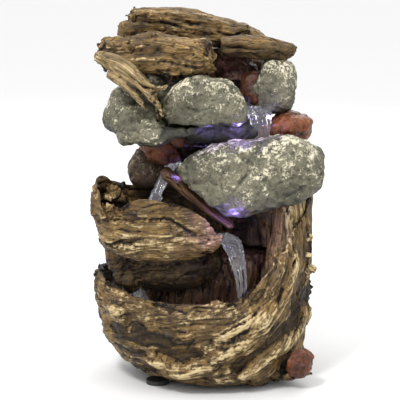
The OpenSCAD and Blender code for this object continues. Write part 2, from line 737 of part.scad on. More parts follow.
hub_r = 3;
magnet_y0 = well_end_y + 1;
vane_y0 = pump_front_y - volute_l + 1;
module rotor_magnet() {
    color("#3a3a3a")
        difference() {
            ycyl(magnet_r, magnet_y0, vane_y0 - 0.6, pump_x, axis_z);
            ycyl(hub_r + 0.02, magnet_y0 - 1, vane_y0 + 1, pump_x, axis_z);
        }
}

module impeller() {
    vanes = 6;
    vane_t = 1.2;
    vane_end = pump_front_y - 1;
    color("#e8e8e4")
        difference() {
            union() {
                ycyl(hub_r, magnet_y0, vane_end, pump_x, axis_z);
                ycyl(magnet_r, vane_y0 - 0.6, vane_y0 + 0.6, pump_x, axis_z);
                for (k = [0:vanes - 1])
                    translate([pump_x, vane_y0, axis_z]) rotate([0, 360 * k / vanes, 0])
                        translate([hub_r - 0.5, 0, -vane_t / 2])
                            cube([vane_r - hub_r + 0.5, vane_end - vane_y0, vane_t]);
            }
            ycyl(shaft_r + 0.07, magnet_y0 - 1, vane_end + 1, pump_x, axis_z);
        }
}

module rotor_shaft() {
    color("#f2f2ee")
        ycyl(shaft_r, well_end_y - bush_l + 0.5, pump_front_y + bush_l - 0.5, pump_x, axis_z);
}

module shaft_bushes() {
    color("#141414")
        for (y = [well_end_y - bush_l, pump_front_y + 0.2])
            difference() {
                ycyl(bush_r, y, y + bush_l - 0.2, pump_x, axis_z);
                ycyl(shaft_r + 0.05, y - 1, y + bush_l + 1, pump_x, axis_z);
            }
}

module suction_cups() {
    color("#2a2a2a")
        for (x = [-1, 1], y = [-pump_l + 7, -7])
            translate([pump_x + x * (pump_w / 2 - 7), pump_front_y + y, floor_z])
                cylinder(r1 = 5.5, r2 = 2.6, h = cup_h);
}

// --------------------------------------------------------------- tube and outlet

tube_fit_r = nozzle_r + 0.25;
tube_r = tube_fit_r + tube_wall;
nozzle_base_z = pump_z + pump_w;
tube_start_z = nozzle_base_z + 2;
elbow_bend_r = 11;
elbow_y = 37 * ky;
tube_end_z = elbow_z - elbow_bend_r - 2;

tube_path = smooth([
    [pump_x, nozzle_y, tube_start_z],
    [pump_x, nozzle_y, tube_start_z + 13],
    [pump_x, (nozzle_y + elbow_y) / 2, tube_start_z + 30],
    [elbow_x, elbow_y, tube_start_z + 48],
    [elbow_x, elbow_y, tube_start_z + 75],
    [elbow_x, elbow_y, tube_end_z - 14],
    [elbow_x, elbow_y, tube_end_z]
], 24);

function tube_ring(k, r) =
    let (
        last = len(tube_path) - 1,
        ahead = k == 0 || k == last ? [0, 0, 1] : unit(tube_path[k + 1] - tube_path[k - 1]),
        across = unit(cross([0, 1, 0], ahead)),
        up = cross(ahead, across)
    )
    [for (j = [0:15]) tube_path[k] + r * (across * cos(22.5 * j) + up * sin(22.5 * j))];

module riser_tube() {
    last = len(tube_path) - 1;
    color("#cfd6d8")
        skin(concat(
            [for (k = [0:last]) tube_ring(k, tube_r)],
            [for (k = [last:-1:0]) tube_ring(k, tube_fit_r)]
        ), looped = true);
}

module hose_clamp() {
    color("#b9bcc0")
        translate([pump_x, nozzle_y, tube_start_z + 4])
            difference() {
                cylinder(r = tube_r + 1.3, h = 4);
                translate([0, 0, -1]) cylinder(r = tube_r + 0.15, h = 6);
            }
}

module outlet_elbow() {
    barb_h = 12;
    spout_end_y = 9 * ky;
    color("#26282b")
        translate([elbow_x, elbow_y, elbow_z - elbow_bend_r])
            difference() {
                union() {
                    translate([0, 0, -barb_h]) cylinder(r = nozzle_r, h = barb_h);
                    translate([0, -elbow_bend_r, 0]) rotate([0, -90, 0]) rotate([0, 0, 90])
                        rotate_extrude(angle = -90) translate([elbow_bend_r, 0]) circle(r = nozzle_r);
                    translate([0, -(elbow_y - spout_end_y), elbow_bend_r]) rotate([-90, 0, 0])
                        cylinder(r = nozzle_r, h = elbow_y - spout_end_y - elbow_bend_r);
                }
                translate([0, 0, -barb_h - 1]) cylinder(r = nozzle_bore_r, h = barb_h + 1);
                translate([0, -elbow_bend_r, 0]) rotate([0, -90, 0]) rotate([0, 0, 90])
                    rotate_extrude(angle = -90) translate([elbow_bend_r, 0]) circle(r = nozzle_bore_r);
                translate([0, -(elbow_y - spout_end_y) - 1, elbow_bend_r]) rotate([-90, 0, 0])
                    cylinder(r = nozzle_bore_r, h = elbow_y - spout_end_y - elbow_bend_r + 1);
            }
}

// ----------------------------------------------------------------------- lights

// Each light is [x, y, pool floor z]. Its lead runs straight back from it through the walls.
led_spots = [
    [13 * kx, -7 * ky, upper_z + dish_floor],
    [-4 * kx, -6 * ky, stone_z + dish_floor],
    [-17 * kx, -27 * ky, bowl_z + dish_floor]
];

module led_housings() {
    color("#2c2e33")
        for (l = led_spots)
            translate([l[0], l[1], l[2]]) cylinder(r = led_r, h = led_h);
}

module led_lenses() {
    lens_r = led_r - 0.8;
    color("#b9b4ff")
        for (l = led_spots)
            translate([l[0], l[1], l[2] + led_h])
                intersection() {
                    sphere(r = lens_r);
                    cylinder(r = lens_r + 1, h = lens_r + 1);
                }
}

box_size = [28, 12, 20];
box_at = [14 * kx, 38 * ky, stone_z + 14];
box_lid = 1.6;

// The leads stay this far from what they pass, and in front of the riser tube.
lead_clear = 0.6;
lead_back_y = elbow_y - tube_r - lead_r - lead_clear;

// The lights' leads run along the pool floors, through the trunk's front wall and to the box.
module led_leads() {
    color("#1b1b1b")
        for (k = [0:2]) {
            l = led_spots[k];
            z = l[2] + lead_lift;
            start_y = l[1] + led_r + 0.9;
            inside_y = min(trunk_front_y + trunk_wall + 3, lead_back_y);
            run = inside_y - start_y;
            above = k == 0;
            entry_z = above ? box_at.z + box_size.z + lead_clear : box_at.z - lead_clear;
            entry = [box_at.x - 8 + 7 * k, box_at.y - 3, entry_z];
            turn_z = above ? entry.z + 10 : entry.z - 10;
            lead(smooth([
                [l[0], start_y, z],
                [l[0], start_y + run / 2, z],
                [l[0], inside_y, z],
                [l[0] * 0.9 + entry.x * 0.1, min(inside_y + 1, lead_back_y), z * 0.85 + turn_z * 0.15],
                [(l[0] + entry.x) / 2, min(inside_y + 1.5, lead_back_y), z * 0.6 + turn_z * 0.4],
                [entry.x, entry.y, turn_z],
                entry
            ], 20));
        }
}

module pump_lead() {
    start = [pump_x + 6, pump_front_y - pump_l - 1, axis_z + 6];
    entry = [box_at.x + box_size.x / 2 + 0.8, box_at.y, box_at.z + 8];
    color("#1b1b1b")
        lead(smooth([
            start,
            start + [2, -6, 3],
            [pump_x + 14, -6 * ky, axis_z + 20],
            [32 * kx, 2 * ky, floor_z + 48],
            [38 * kx, 20 * ky, floor_z + 64],
            [39 * kx, 40 * ky, floor_z + 80],
            [38 * kx, 42 * ky, stone_z - 6],
            [entry.x + 5, entry.y + 1, box_at.z + 4],
            entry
        ], 34));
}

module splice_box() {
    color("#303236")
        translate(box_at)
            difference() {
                translate([-box_size.x / 2, -box_size.y / 2, 0]) cube(box_size);
                translate([-box_size.x / 2 + 1.6, -box_size.y / 2 + 1.6, 1.6])
                    cube([box_size.x - 3.2, box_size.y, box_size.z - 3.2]);
            }
}

module splice_box_lid() {
    color("#3a3d42")
        translate([box_at.x - box_size.x / 2, box_at.y + box_size.y / 2, box_at.z])
            cube([box_size.x, box_lid, box_size.z]);
}

// ---------------------------------------------------------------------- drawing

base_basin();
trunk_shell();
root_flare();
log_bowl();
leaning_slab();
stone_dish();
big_stone();
side_stone();
rust_stone_left();
rust_stone_right();
upper_dish();
grey_boulder_left();
grey_ledge();
grey_stone_front();
grey_stone_right();
rust_pebble();
dark_red_stone();
log_back();
log_front();
log_right();
twisted_root();
base_pebble();
rubber_feet();
pump_hatch();
hatch_gasket();
cord_gland();
pump_body();
pump_cover();
flow_dial();
rotor_magnet();
impeller();
rotor_shaft();
shaft_bushes();
suction_cups();
riser_tube();
hose_clamp();
outlet_elbow();
led_housings();
led_lenses();
led_leads();
pump_lead();
splice_box();
splice_box_lid();
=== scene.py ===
"""Visual model of the tabletop fountain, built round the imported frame.

The castings are carved in mesh code: each starts from its own CAD solid, gains the lumps, roots and rims that
the plain solid lacks, is fused into one skin and then displaced along a wood grain or a stone relief.
All lengths are in millimetres until a mesh is finished; MM turns them into metres.
"""
import json
import math
import bpy
import numpy as np
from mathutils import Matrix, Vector
from mathutils.bvhtree import BVHTree


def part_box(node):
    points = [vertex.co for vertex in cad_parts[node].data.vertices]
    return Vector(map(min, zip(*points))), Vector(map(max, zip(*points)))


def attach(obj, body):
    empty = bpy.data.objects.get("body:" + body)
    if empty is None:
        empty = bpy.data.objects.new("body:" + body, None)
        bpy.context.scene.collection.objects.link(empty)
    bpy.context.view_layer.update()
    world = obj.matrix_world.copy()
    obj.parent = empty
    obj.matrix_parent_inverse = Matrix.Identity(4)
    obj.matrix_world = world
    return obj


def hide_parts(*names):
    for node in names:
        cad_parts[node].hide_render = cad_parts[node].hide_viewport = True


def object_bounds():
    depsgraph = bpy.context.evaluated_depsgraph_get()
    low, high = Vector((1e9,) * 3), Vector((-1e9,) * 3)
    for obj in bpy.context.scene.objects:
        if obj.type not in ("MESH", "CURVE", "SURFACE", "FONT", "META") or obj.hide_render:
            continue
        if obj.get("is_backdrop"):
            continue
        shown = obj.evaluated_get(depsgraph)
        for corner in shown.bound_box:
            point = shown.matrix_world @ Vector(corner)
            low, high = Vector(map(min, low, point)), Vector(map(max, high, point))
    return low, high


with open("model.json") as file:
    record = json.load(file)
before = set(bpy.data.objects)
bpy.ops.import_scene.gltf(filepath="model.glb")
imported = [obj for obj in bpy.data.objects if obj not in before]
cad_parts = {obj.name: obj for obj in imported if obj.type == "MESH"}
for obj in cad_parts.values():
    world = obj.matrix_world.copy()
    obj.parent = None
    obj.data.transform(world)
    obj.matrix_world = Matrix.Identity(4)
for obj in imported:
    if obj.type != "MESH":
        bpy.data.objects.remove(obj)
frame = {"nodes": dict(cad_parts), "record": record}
cad_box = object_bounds()
MM = 0.001
CASTING = "casting"
BASIN_REACH = 79.0  # radius at which the basin's side is unrolled
BOWL_REACH = 45.0  # the same for the log bowl

SLOTS = {part["node"]: part["material_slot"] for part in frame["record"]["subparts"]}

# ------------------------------------------------------------------------------ noise

_random = np.random.RandomState(11)
_shuffle = np.tile(_random.permutation(256), 2)
_slopes = _random.normal(size=(256, 3))
_slopes /= np.linalg.norm(_slopes, axis=1)[:, None]


def _hash(c):
    """A number from 0 to 255 for each whole-numbered cell."""
    return _shuffle[(_shuffle[(_shuffle[c[:, 0] & 255] + c[:, 1]) & 255] + c[:, 2]) & 255]


def noise(p):
    """Smooth noise at each point, from about -1 to 1, with features about one unit across."""
    cell = np.floor(p).astype(int)
    f = p - cell
    w = f * f * f * (f * (f * 6 - 15) + 10)
    total = np.zeros(len(p))
    for corner in np.ndindex(2, 2, 2):
        step = np.array(corner)
        share = np.where(step == 1, w, 1 - w).prod(1)
        total += share * (_slopes[_hash(cell + step)] * (f - step)).sum(1)
    return total * 1.6


def layered(p, octaves):
    """Several octaves of noise, each about twice as fine and half as strong."""
    return sum(0.5 ** k * noise(p * 2.03 ** k + 17.3 * k) for k in range(octaves))


def cracks(p, width):
    """1 along thin winding lines, falling to 0 at the given width."""
    return np.clip(1 - np.abs(noise(p)) / width, 0, 1)


def cells(p):
    """Distances to the nearest and second nearest of scattered points, one in each unit cell."""
    cell = np.floor(p).astype(int)
    near = np.full(len(p), 9.0)
    second = near.copy()
    for corner in np.ndindex(3, 3, 3):
        c = cell + np.array(corner) - 1
        spot = c + 0.5 + 0.45 * _slopes[_hash(c)]
        d = np.linalg.norm(p - spot, axis=1)
        second = np.minimum(second, np.maximum(near, d))
        near = np.minimum(near, d)
    return near, second


def bell(distance, width):
    """1 where the distance is 0, falling softly to nothing at about twice the width."""
    return np.exp(-(distance / width) ** 2)


def ramp(x, low, high):
    """A soft rise from 0 at low to 1 at high. Where low is the greater, it falls instead."""
    t = np.clip((x - low) / (high - low), 0, 1)
    return t * t * (3 - 2 * t)


# ------------------------------------------------------------------------------ meshes

def add(name, data):
    """A new object in the scene."""
    made = bpy.data.objects.new(name, data)
    bpy.context.scene.collection.objects.link(made)
    return made


def cad(node):
    """Points in millimetres and faces of a CAD node."""
    mesh = frame["nodes"][node].data
    points = np.empty(len(mesh.vertices) * 3)
    mesh.vertices.foreach_get("co", points)
    return points.reshape(-1, 3) / MM, [tuple(f.vertices) for f in mesh.polygons]


def rays(node):
    """A CAD node to cast rays at, in millimetres."""
    points, faces = cad(node)
    return BVHTree.FromPolygons([tuple(p) for p in points], faces)


def grid_faces(rows, columns):
    """Faces of a closed tube of rings, with one face over each end."""
    faces = []
    for i in range(rows - 1):
        for j in range(columns):
            a = i * columns + j
            b = i * columns + (j + 1) % columns
            faces.append((a, b, b + columns, a + columns))
    faces.append(tuple(reversed(range(columns))))
    faces.append(tuple(range((rows - 1) * columns, rows * columns)))
    return faces


def blob(centre, radii, lean=0.0):
    """A lump: an ellipsoid leaned about Y by an angle in degrees."""
    rows, columns = 12, 20
    c, s = math.cos(math.radians(lean)), math.sin(math.radians(lean))
    points = []
    for i in range(rows):
        lat = math.pi * ((i + 0.3) / (rows - 0.4) - 0.5)
        for j in range(columns):
            lon = 2 * math.pi * j / columns
            x = radii[0] * math.cos(lat) * math.cos(lon)
            y = radii[1] * math.cos(lat) * math.sin(lon)
            z = radii[2] * math.sin(lat)
            x, z = x * c - z * s, x * s + z * c
            points.append((centre[0] + x, centre[1] + y, centre[2] + z))
    return np.array(points), grid_faces(rows, columns)


def spline(points, steps):
    """A smooth path of the given number of steps through the points, of any dimension."""
    p = np.array(points, float)
    p = np.vstack([2 * p[0] - p[1], p, 2 * p[-1] - p[-2]])
    path = []
    for s in np.linspace(0, len(p) - 3 - 1e-6, steps):
        i = int(s)
        f = s - i
        a, b, c, d = p[i:i + 4]
        path.append((2 * b + (c - a) * f + (2 * a - 5 * b + 4 * c - d) * f ** 2
                     + (3 * b - a - 3 * c + d) * f ** 3) / 2)
    return np.array(path)


def tube(points, steps, sides, flat=1.0):
    """A closed tube. Each point is (x, y, z, radius); flat scales its height across the path."""
    path = spline(points, steps)
    rings = []
    for k, here in enumerate(path):
        ahead = path[min(k + 1, steps - 1), :3] - path[max(k - 1, 0), :3]
        ahead /= np.linalg.norm(ahead) + 1e-9
        across = np.cross((0, 0, 1) if abs(ahead[2]) < 0.9 else (0, 1, 0), ahead)
        across /= np.linalg.norm(across)
        up = np.cross(ahead, across)
        for j in range(sides):
            a = 2 * math.pi * j / sides
            rings.append(here[:3] + here[3] * (across * math.cos(a) + flat * up * math.sin(a)))
    return np.array(rings), grid_faces(steps, sides)


def fuse(parts, voxel):
    """One closed skin of square faces round all the parts: (points, faces as an n by 4 array)."""
    points, faces = [], []
    for p, f in parts:
        faces += [tuple(i + len(points) for i in face) for face in f]
        points += [tuple(q) for q in p]
    mesh = bpy.data.meshes.new("rough")
    mesh.from_pydata(points, [], faces)
    rough = add("rough", mesh)
    change = rough.modifiers.new("fuse", "REMESH")
    change.mode = "VOXEL"
    change.voxel_size = voxel
    change.adaptivity = 0
    graph = bpy.context.evaluated_depsgraph_get()
    done = bpy.data.meshes.new_from_object(rough.evaluated_get(graph))
    bpy.data.objects.remove(rough)
    bpy.data.meshes.remove(mesh)
    co = np.empty(len(done.vertices) * 3)
    done.vertices.foreach_get("co", co)
    corners = np.empty(len(done.loops), int)
    done.loops.foreach_get("vertex_index", corners)
    quads = corners.reshape(-1, 4)
    bpy.data.meshes.remove(done)
    return without_crumbs(co.reshape(-1, 3), quads)


def sides_of(quads):
    """The two points of every side of every face."""
    return np.vstack([quads[:, [k, (k + 1) % 4]] for k in range(4)])


def without_crumbs(points, quads, crumb=200):
    """Drops the loose crumbs, of up to that many points, that the fusing may leave."""
    label = np.arange(len(points))
    pairs = sides_of(quads)
    # Each point takes its neighbours' lowest label, until no label changes.
    while True:
        low = np.minimum(label[pairs[:, 0]], label[pairs[:, 1]])
        new = label.copy()
        np.minimum.at(new, pairs[:, 0], low)
        np.minimum.at(new, pairs[:, 1], low)
        new = new[new]
        if (new == label).all():
            break
        label = new
    names, counts = np.unique(label, return_counts=True)
    keep = np.isin(label, names[counts > crumb])
    index = np.cumsum(keep) - 1
    return points[keep], index[quads[keep[quads[:, 0]]]]


class Skin:
    """A fused skin that can be smoothed and displaced."""

    def __init__(self, parts, voxel):
        self.points, self.quads = fuse(parts, voxel)
        pairs = np.unique(np.sort(sides_of(self.quads), axis=1), axis=0)
        self.a = np.concatenate([pairs[:, 0], pairs[:, 1]])
        self.b = np.concatenate([pairs[:, 1], pairs[:, 0]])
        self.count = np.bincount(self.a, minlength=len(self.points))[:, None]

    def mean(self, values):
        """The mean of each point's neighbours."""
        sums = [np.bincount(self.a, column[self.b], len(self.points)) for column in values.T]
        return np.stack(sums, 1) / self.count

    def smooth(self, rounds):
        """Smooths without shrinking: each step in is followed by a slightly longer step out."""
        for step in (0.5, -0.52) * rounds:
            self.points = self.points + step * (self.mean(self.points) - self.points)

    def normals(self):
        """The outward direction at each point."""
        p = self.points[self.quads]
        n = np.cross(p[:, 2] - p[:, 0], p[:, 3] - p[:, 1])
        total = np.stack([np.bincount(self.quads.ravel(), np.repeat(n[:, k], 4), len(self.points))
                          for k in range(3)], 1)
        return total / (np.linalg.norm(total, axis=1)[:, None] + 1e-12)

    def push(self, height):
        """Moves each point outwards by its own height in millimetres."""
        self.points = self.points + self.normals() * height[:, None]

    def relief(self, rounds):
        """How far each point stands above the surface smoothed by that many rounds, in millimetres."""
        flat = self.points
        for _ in range(rounds):
            flat = self.mean(flat)
        return ((self.points - flat) * self.normals()).sum(1)

    def piece(self, name, material, nodes, slot, grain=None, paint_and_shade=None, calm=0.0):
        """Turns the skin into a finished piece that stands for the CAD nodes.

        The materials read four attributes: the fine and the deep relief, the paint and painted shade (dark
        where positive) and the grain's own coordinates. calm, from 0 to 1, fades the relief that they see.
        """
        self.points = held(self.points)
        mesh = bpy.data.meshes.new(name)
        mesh.vertices.add(len(self.points))
        mesh.vertices.foreach_set("co", (self.points * MM).ravel())
        mesh.loops.add(self.quads.size)
        mesh.loops.foreach_set("vertex_index", self.quads.ravel().astype(np.int32))
        mesh.polygons.add(len(self.quads))
        mesh.polygons.foreach_set("loop_start", np.arange(0, self.quads.size, 4, dtype=np.int32))
        mesh.update(calc_edges=True)
        mesh.shade_smooth()
        keep = 1 - calm
        fine_unit, deep_unit = 0.35, 2.2  # relief in millimetres that counts as 1
        values = {"fine": keep * np.clip(self.relief(4) / fine_unit, -2.0, 1.3),
                  "deep": keep * np.clip(self.relief(30) / deep_unit, -1.2, 0.9),
                  "paint_and_shade": np.zeros(len(self.points)) if paint_and_shade is None else paint_and_shade}
        for label, value in values.items():
            mesh.attributes.new(label, "FLOAT", "POINT").data.foreach_set("value", value.astype(np.float32))
        along = self.points if grain is None else grain
        mesh.attributes.new("grain", "FLOAT_VECTOR", "POINT").data.foreach_set("vector", along.ravel())
        made = add(name, mesh)
        mesh.materials.append(material)
        settle(made, CASTING, slot, *nodes)


def held(points, margin=3.0):
    """Draws in softly what would pass the CAD model's box, except at its foot."""
    low, high = (np.array(side) / MM for side in cad_box)
    over = np.maximum(points - (high - margin), 0)
    under = np.maximum((low + margin) - points, 0)
    under[:, 2] = np.minimum(under[:, 2], 0)
    points = np.where(over > 0, high - margin * np.exp(-over / margin), points)
    return np.where(under > 0, low + margin * np.exp(-under / margin), points)


def settle(piece, body, slot, *nodes):
    """Puts a piece on its body, hiding the CAD nodes that it stands for. slot is not used."""
    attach(piece, body)
    if nodes:
        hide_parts(*nodes)


# ------------------------------------------------------------------------------ relief

def wood_relief(g, depth=1.0):
    """Height of weathered wood. g is (along, across, in) in millimetres, already bent to the grain.

    Here and in stone_relief, each noise is divided by the size of its features in millimetres.
    """
    slow = np.stack([noise(g / 30 + k) for k in (3.1, 7.7, 12.9)], 1)
    quick = np.stack([noise(g / 11 + k) for k in (23.1, 27.7, 32.9)], 1)
    q = (g + 4.0 * slow + 1.0 * quick) * np.array([0.07, 1.0, 1.0])
    rough = ramp(noise(g / 22 + 41), -0.35, 0.45)
    ribs = 1.0 * noise(q / 10.5) + 0.55 * noise(q / 5.0 + 31)
    grooves = -1.3 * cracks(q / 7.5 + 71, 0.17) * (0.35 + 0.65 * rough) - 0.6 * cracks(q / 4.2 + 57, 0.2)
    splits = -3.0 * cracks(q / 19 + 91, 0.085) * ramp(noise(g / 26 + 63), -0.1, 0.35)
    gnarl = (0.55 * noise(g / 5.5 + 13) - 0.7 * ramp(noise(g / 3.6 + 19), 0.25, 0.7)) * rough
    return depth * (ribs + grooves + splits + gnarl)


def stone_relief(p, depth=1.0, seed=0.0):
    """Height of a weathered boulder."""
    q = p + seed * 13.7
    near, second = cells(q / 19.0)
    facets = -1.2 * bell(second - near, 0.12)
    lumps = 2.6 * noise(q / 27) + 1.3 * noise(q / 12 + 5) + 0.55 * noise(q / 5.5 + 9)
    crust = 0.5 * ramp(layered(q / 6.5 + 21, 3), -0.05, 0.2)
    pits = -0.5 * ramp(noise(q / 2.6 + 37), 0.3, 0.7)
    return depth * (lumps + 0.7 * facets + crust + pits)


def near_path(uv, path):
    """Distance of each point from a line of straight runs on the unrolled surface."""
    best = np.full(len(uv), 1e9)
    path = np.array(path, float)
    for a, b in zip(path[:-1], path[1:]):
        run = b - a
        t = np.clip(((uv - a) @ run) / (run @ run), 0, 1)
        best = np.minimum(best, np.linalg.norm(uv - a - t[:, None] * run, axis=1))
    return best


def mound(uv, centre, reach, turn=0.0):
    """A soft mound, 1 at its centre, with a reach along and across its turned axis."""
    d = uv - np.array(centre)
    c, s = math.cos(math.radians(turn)), math.sin(math.radians(turn))
    along, across = d[:, 0] * c + d[:, 1] * s, d[:, 1] * c - d[:, 0] * s
    return np.exp(-(along / reach[0]) ** 2 - (across / reach[1]) ** 2)


# ------------------------------------------------------------------------------ materials

class Graph:
    """Short calls for building a node material."""

    def __init__(self, name):
        self.material = bpy.data.materials.new(name)
        self.material.use_nodes = True
        self.tree = self.material.node_tree
        self.shader = self.tree.nodes["Principled BSDF"]
        self.where = self.node("ShaderNodeTexCoord").outputs["Object"]

    def node(self, kind, settings=(), **inputs):
        """A node with its settings and inputs, where _ in an input's name stands for a space."""
        made = self.tree.nodes.new(kind)
        for key, value in dict(settings).items():
            setattr(made, key, value)
        for key, value in inputs.items():
            self.join(made.inputs[key.replace("_", " ")], value)
        return made

    def join(self, socket, value):
        """Links a socket to another, or sets its value. A colour of three numbers gets an alpha of 1."""
        if isinstance(value, bpy.types.NodeSocket):
            self.tree.links.new(value, socket)
        else:
            socket.default_value = (*value, 1.0) if socket.type == "RGBA" and len(value) == 3 else value

    def attribute(self, name, output="Fac"):
        return self.node("ShaderNodeAttribute", {"attribute_name": name}).outputs[output]

    def noise(self, size, detail=3.0, vector=None, unit=MM, rough=0.55, warp=0.0):
        """Noise from 0 to 1 with features of that size in millimetres."""
        made = self.node("ShaderNodeTexNoise", Vector=vector or self.where, Scale=1 / (size * unit),
                         Detail=detail, Roughness=rough, Distortion=warp)
        return made.outputs["Fac"]

    def stretched(self, vector, factors):
        """A vector times a factor along each axis."""
        made = self.node("ShaderNodeVectorMath", {"operation": "MULTIPLY"}, Vector=vector)
        made.inputs[1].default_value = factors
        return made.outputs[0]

    def math(self, operation, a, b=0.0):
        made = self.tree.nodes.new("ShaderNodeMath")
        made.operation = operation
        self.join(made.inputs[0], a)
        self.join(made.inputs[1], b)
        return made.outputs[0]

    def swing(self, noise):
        """A noise moved down to run from -0.5 to 0.5."""
        return self.math("SUBTRACT", noise, 0.5)

    def total(self, *shares):
        """The sum of (value, share) pairs, each value times its share."""
        so_far = None
        for value, share in shares:
            part = value if share == 1 else self.math("MULTIPLY", value, share)
            so_far = part if so_far is None else self.math("ADD", so_far, part)
        return so_far

    def scale(self, value, low, high, to_low=0.0, to_high=1.0):
        """Moves a value softly from the range low..high to the range to_low..to_high."""
        made = self.node("ShaderNodeMapRange", {"interpolation_type": "SMOOTHSTEP"}, Value=value)
        for key, number in (("From Min", low), ("From Max", high), ("To Min", to_low), ("To Max", to_high)):
            made.inputs[key].default_value = number
        return made.outputs[0]

    def mix(self, share, a, b):
        """Colour a with a share of colour b. Sockets 6 and 7 and output 2 are the node's colour ones."""
        made = self.tree.nodes.new("ShaderNodeMix")
        made.data_type = "RGBA"
        self.join(made.inputs[0], share)
        self.join(made.inputs[6], a)
        self.join(made.inputs[7], b)
        return made.outputs[2]

    def bump(self, height, strength, distance, normal=None):
        made = self.node("ShaderNodeBump", Height=height, Strength=strength, Distance=distance * MM)
        if normal is not None:
            self.join(made.inputs["Normal"], normal)
        return made.outputs[0]

    def finish(self, colour, rough, normal=None, **values):
        self.join(self.shader.inputs["Base Color"], colour)
        self.join(self.shader.inputs["Roughness"], rough)
        if normal is not None:
            self.join(self.shader.inputs["Normal"], normal)
        for key, value in values.items():
            self.join(self.shader.inputs[key.replace("_", " ")], value)
        return self.material


def wood_material(name, gold, umber, dark, cream, creamy=1.0, gloss=0.5):
    """Painted driftwood: a dark wash in the grain, warm mid tones and cream dry-brushed ridges."""
    g = Graph(name)
    fine = g.attribute("fine")
    deep = g.attribute("deep")
    paint_and_shade = g.attribute("paint_and_shade")
    stretch = g.stretched(g.attribute("grain", "Vector"), (0.06, 1.0, 1.0))
    streaks = g.noise(2.4, 5.0, stretch, 1.0, 0.65)
    threads = g.noise(0.9, 3.0, stretch, 1.0, 0.6)
    lines = g.noise(4.5, 3.0, stretch, 1.0, 0.5, 0.6)
    patches = g.noise(19, 4.0, rough=0.6)
    specks = g.noise(1.5, 4.0, rough=0.75)
    blots = g.noise(7.5, 4.0, rough=0.7)
    shade = g.total((fine, 0.65), (deep, 0.42))
    incised = g.scale(g.math("ABSOLUTE", g.swing(lines)), 0.0, 0.022, 1.0, 0.0)
    base = g.mix(g.scale(patches, 0.36, 0.62), gold, umber)
    base = g.mix(g.scale(streaks, 0.54, 0.32, 0.0, 0.6), base, dark)
    base = g.mix(g.scale(threads, 0.5, 0.3, 0.0, 0.6), base, dark)
    base = g.mix(g.math("MULTIPLY", incised, 0.7), base, dark)
    # Hollows of the relief darken, partly as the dark wash and partly as painted shade.
    base = g.mix(g.scale(g.total((shade, 1), (g.swing(specks), 1)), 0.0, -1.25), base, dark)
    # Positive paint darkens it: darker paint, and painted shade under things and inside the vessels.
    base = g.mix(g.scale(g.total((paint_and_shade, 1), (g.swing(blots), 1.3)), 0.2, 1.15, 0.0, 0.85), base, dark)
    lift = g.total((shade, 0.7), (g.swing(streaks), 2.2), (g.swing(specks), 1.5), (g.swing(threads), 2.0),
                   (g.swing(blots), 1.3), (paint_and_shade, -1.2))
    base = g.mix(g.math("MULTIPLY", g.scale(lift, 0.4, 1.5), 0.85 * creamy), base, cream)
    rough = g.scale(g.total((specks, 1), (shade, 0.15)), 0.3, 0.8, gloss - 0.12, gloss + 0.2)
    normal = g.bump(streaks, 0.8, 0.9)
    normal = g.bump(incised, 0.7, -0.5, normal)
    normal = g.bump(threads, 0.5, 0.35, normal)
    normal = g.bump(specks, 0.5, 0.35, normal)
    return g.finish(base, rough, normal, Specular_IOR_Level=0.22)


def stone_material(name, light, middle, dark, crust, crusty=0.5, gloss=0.5):
    """Painted rock: mottled mid tones, dark pits and a paler broken crust. crusty spreads the crust."""
    g = Graph(name)
    fine = g.attribute("fine")
    deep = g.attribute("deep")
    paint_and_shade = g.attribute("paint_and_shade")
    broad = g.noise(24, 3.0)
    patches = g.noise(9, 3.0, rough=0.6)
    mottle = g.noise(3.4, 6.0, rough=0.72, warp=0.8)
    flecks = g.noise(1.3, 4.0, rough=0.7)
    grit = g.noise(0.7, 3.0, rough=0.7)
    shade = g.total((fine, 0.45), (deep, 0.6))
    base = g.mix(g.scale(broad, 0.36, 0.62), middle, light)
    base = g.mix(g.scale(mottle, 0.52, 0.33, 0.0, 0.75), base, dark)
    base = g.mix(g.scale(flecks, 0.46, 0.3, 0.0, 0.6), base, dark)
    # Hollows of the relief darken, partly as dark paint and partly as painted shade.
    base = g.mix(g.scale(g.total((shade, 1), (g.swing(grit), 1)), 0.0, -1.1), base, dark)
    # Positive paint darkens it: darker paint, and painted shade underneath and low down.
    base = g.mix(g.scale(g.total((paint_and_shade, 1), (g.swing(patches), 1)), 0.2, 0.9, 0.0, 0.88), base, dark)
    place = g.total((mottle, 1.5), (patches, 1), (flecks, 1), (broad, 0.7), (shade, 0.13), (paint_and_shade, -0.4))
    edge = 2.59 - 0.5 * crusty
    crusts = g.scale(place, edge - 0.05, edge + 0.12)
    base = g.mix(g.math("MULTIPLY", crusts, 0.9), base, crust)
    rough = g.scale(g.total((grit, 1), (crusts, 0.3)), 0.3, 1.0, gloss - 0.1, gloss + 0.3)
    normal = g.bump(mottle, 0.7, 0.9)
    normal = g.bump(crusts, 0.6, 0.35, normal)
    normal = g.bump(flecks, 0.6, 0.35, normal)
    return g.finish(base, rough, normal, Specular_IOR_Level=0.28)


def plastic_material(name, colour, rough, **values):
    """Moulded plastic or rubber with a faint grain and small shifts of tone."""
    g = Graph(name)
    tone = g.noise(9, 3.0)
    grit = g.noise(0.35, 2.0)
    paler = tuple(min(1.0, c * 1.35 + 0.012) for c in colour)
    base = g.mix(g.scale(tone, 0.3, 0.7), colour, paler)
    polish = g.scale(g.total((tone, 1), (grit, 1)), 0.6, 1.4, rough - 0.08, rough + 0.12)
    return g.finish(base, polish, g.bump(grit, 0.25, 0.06), **values)


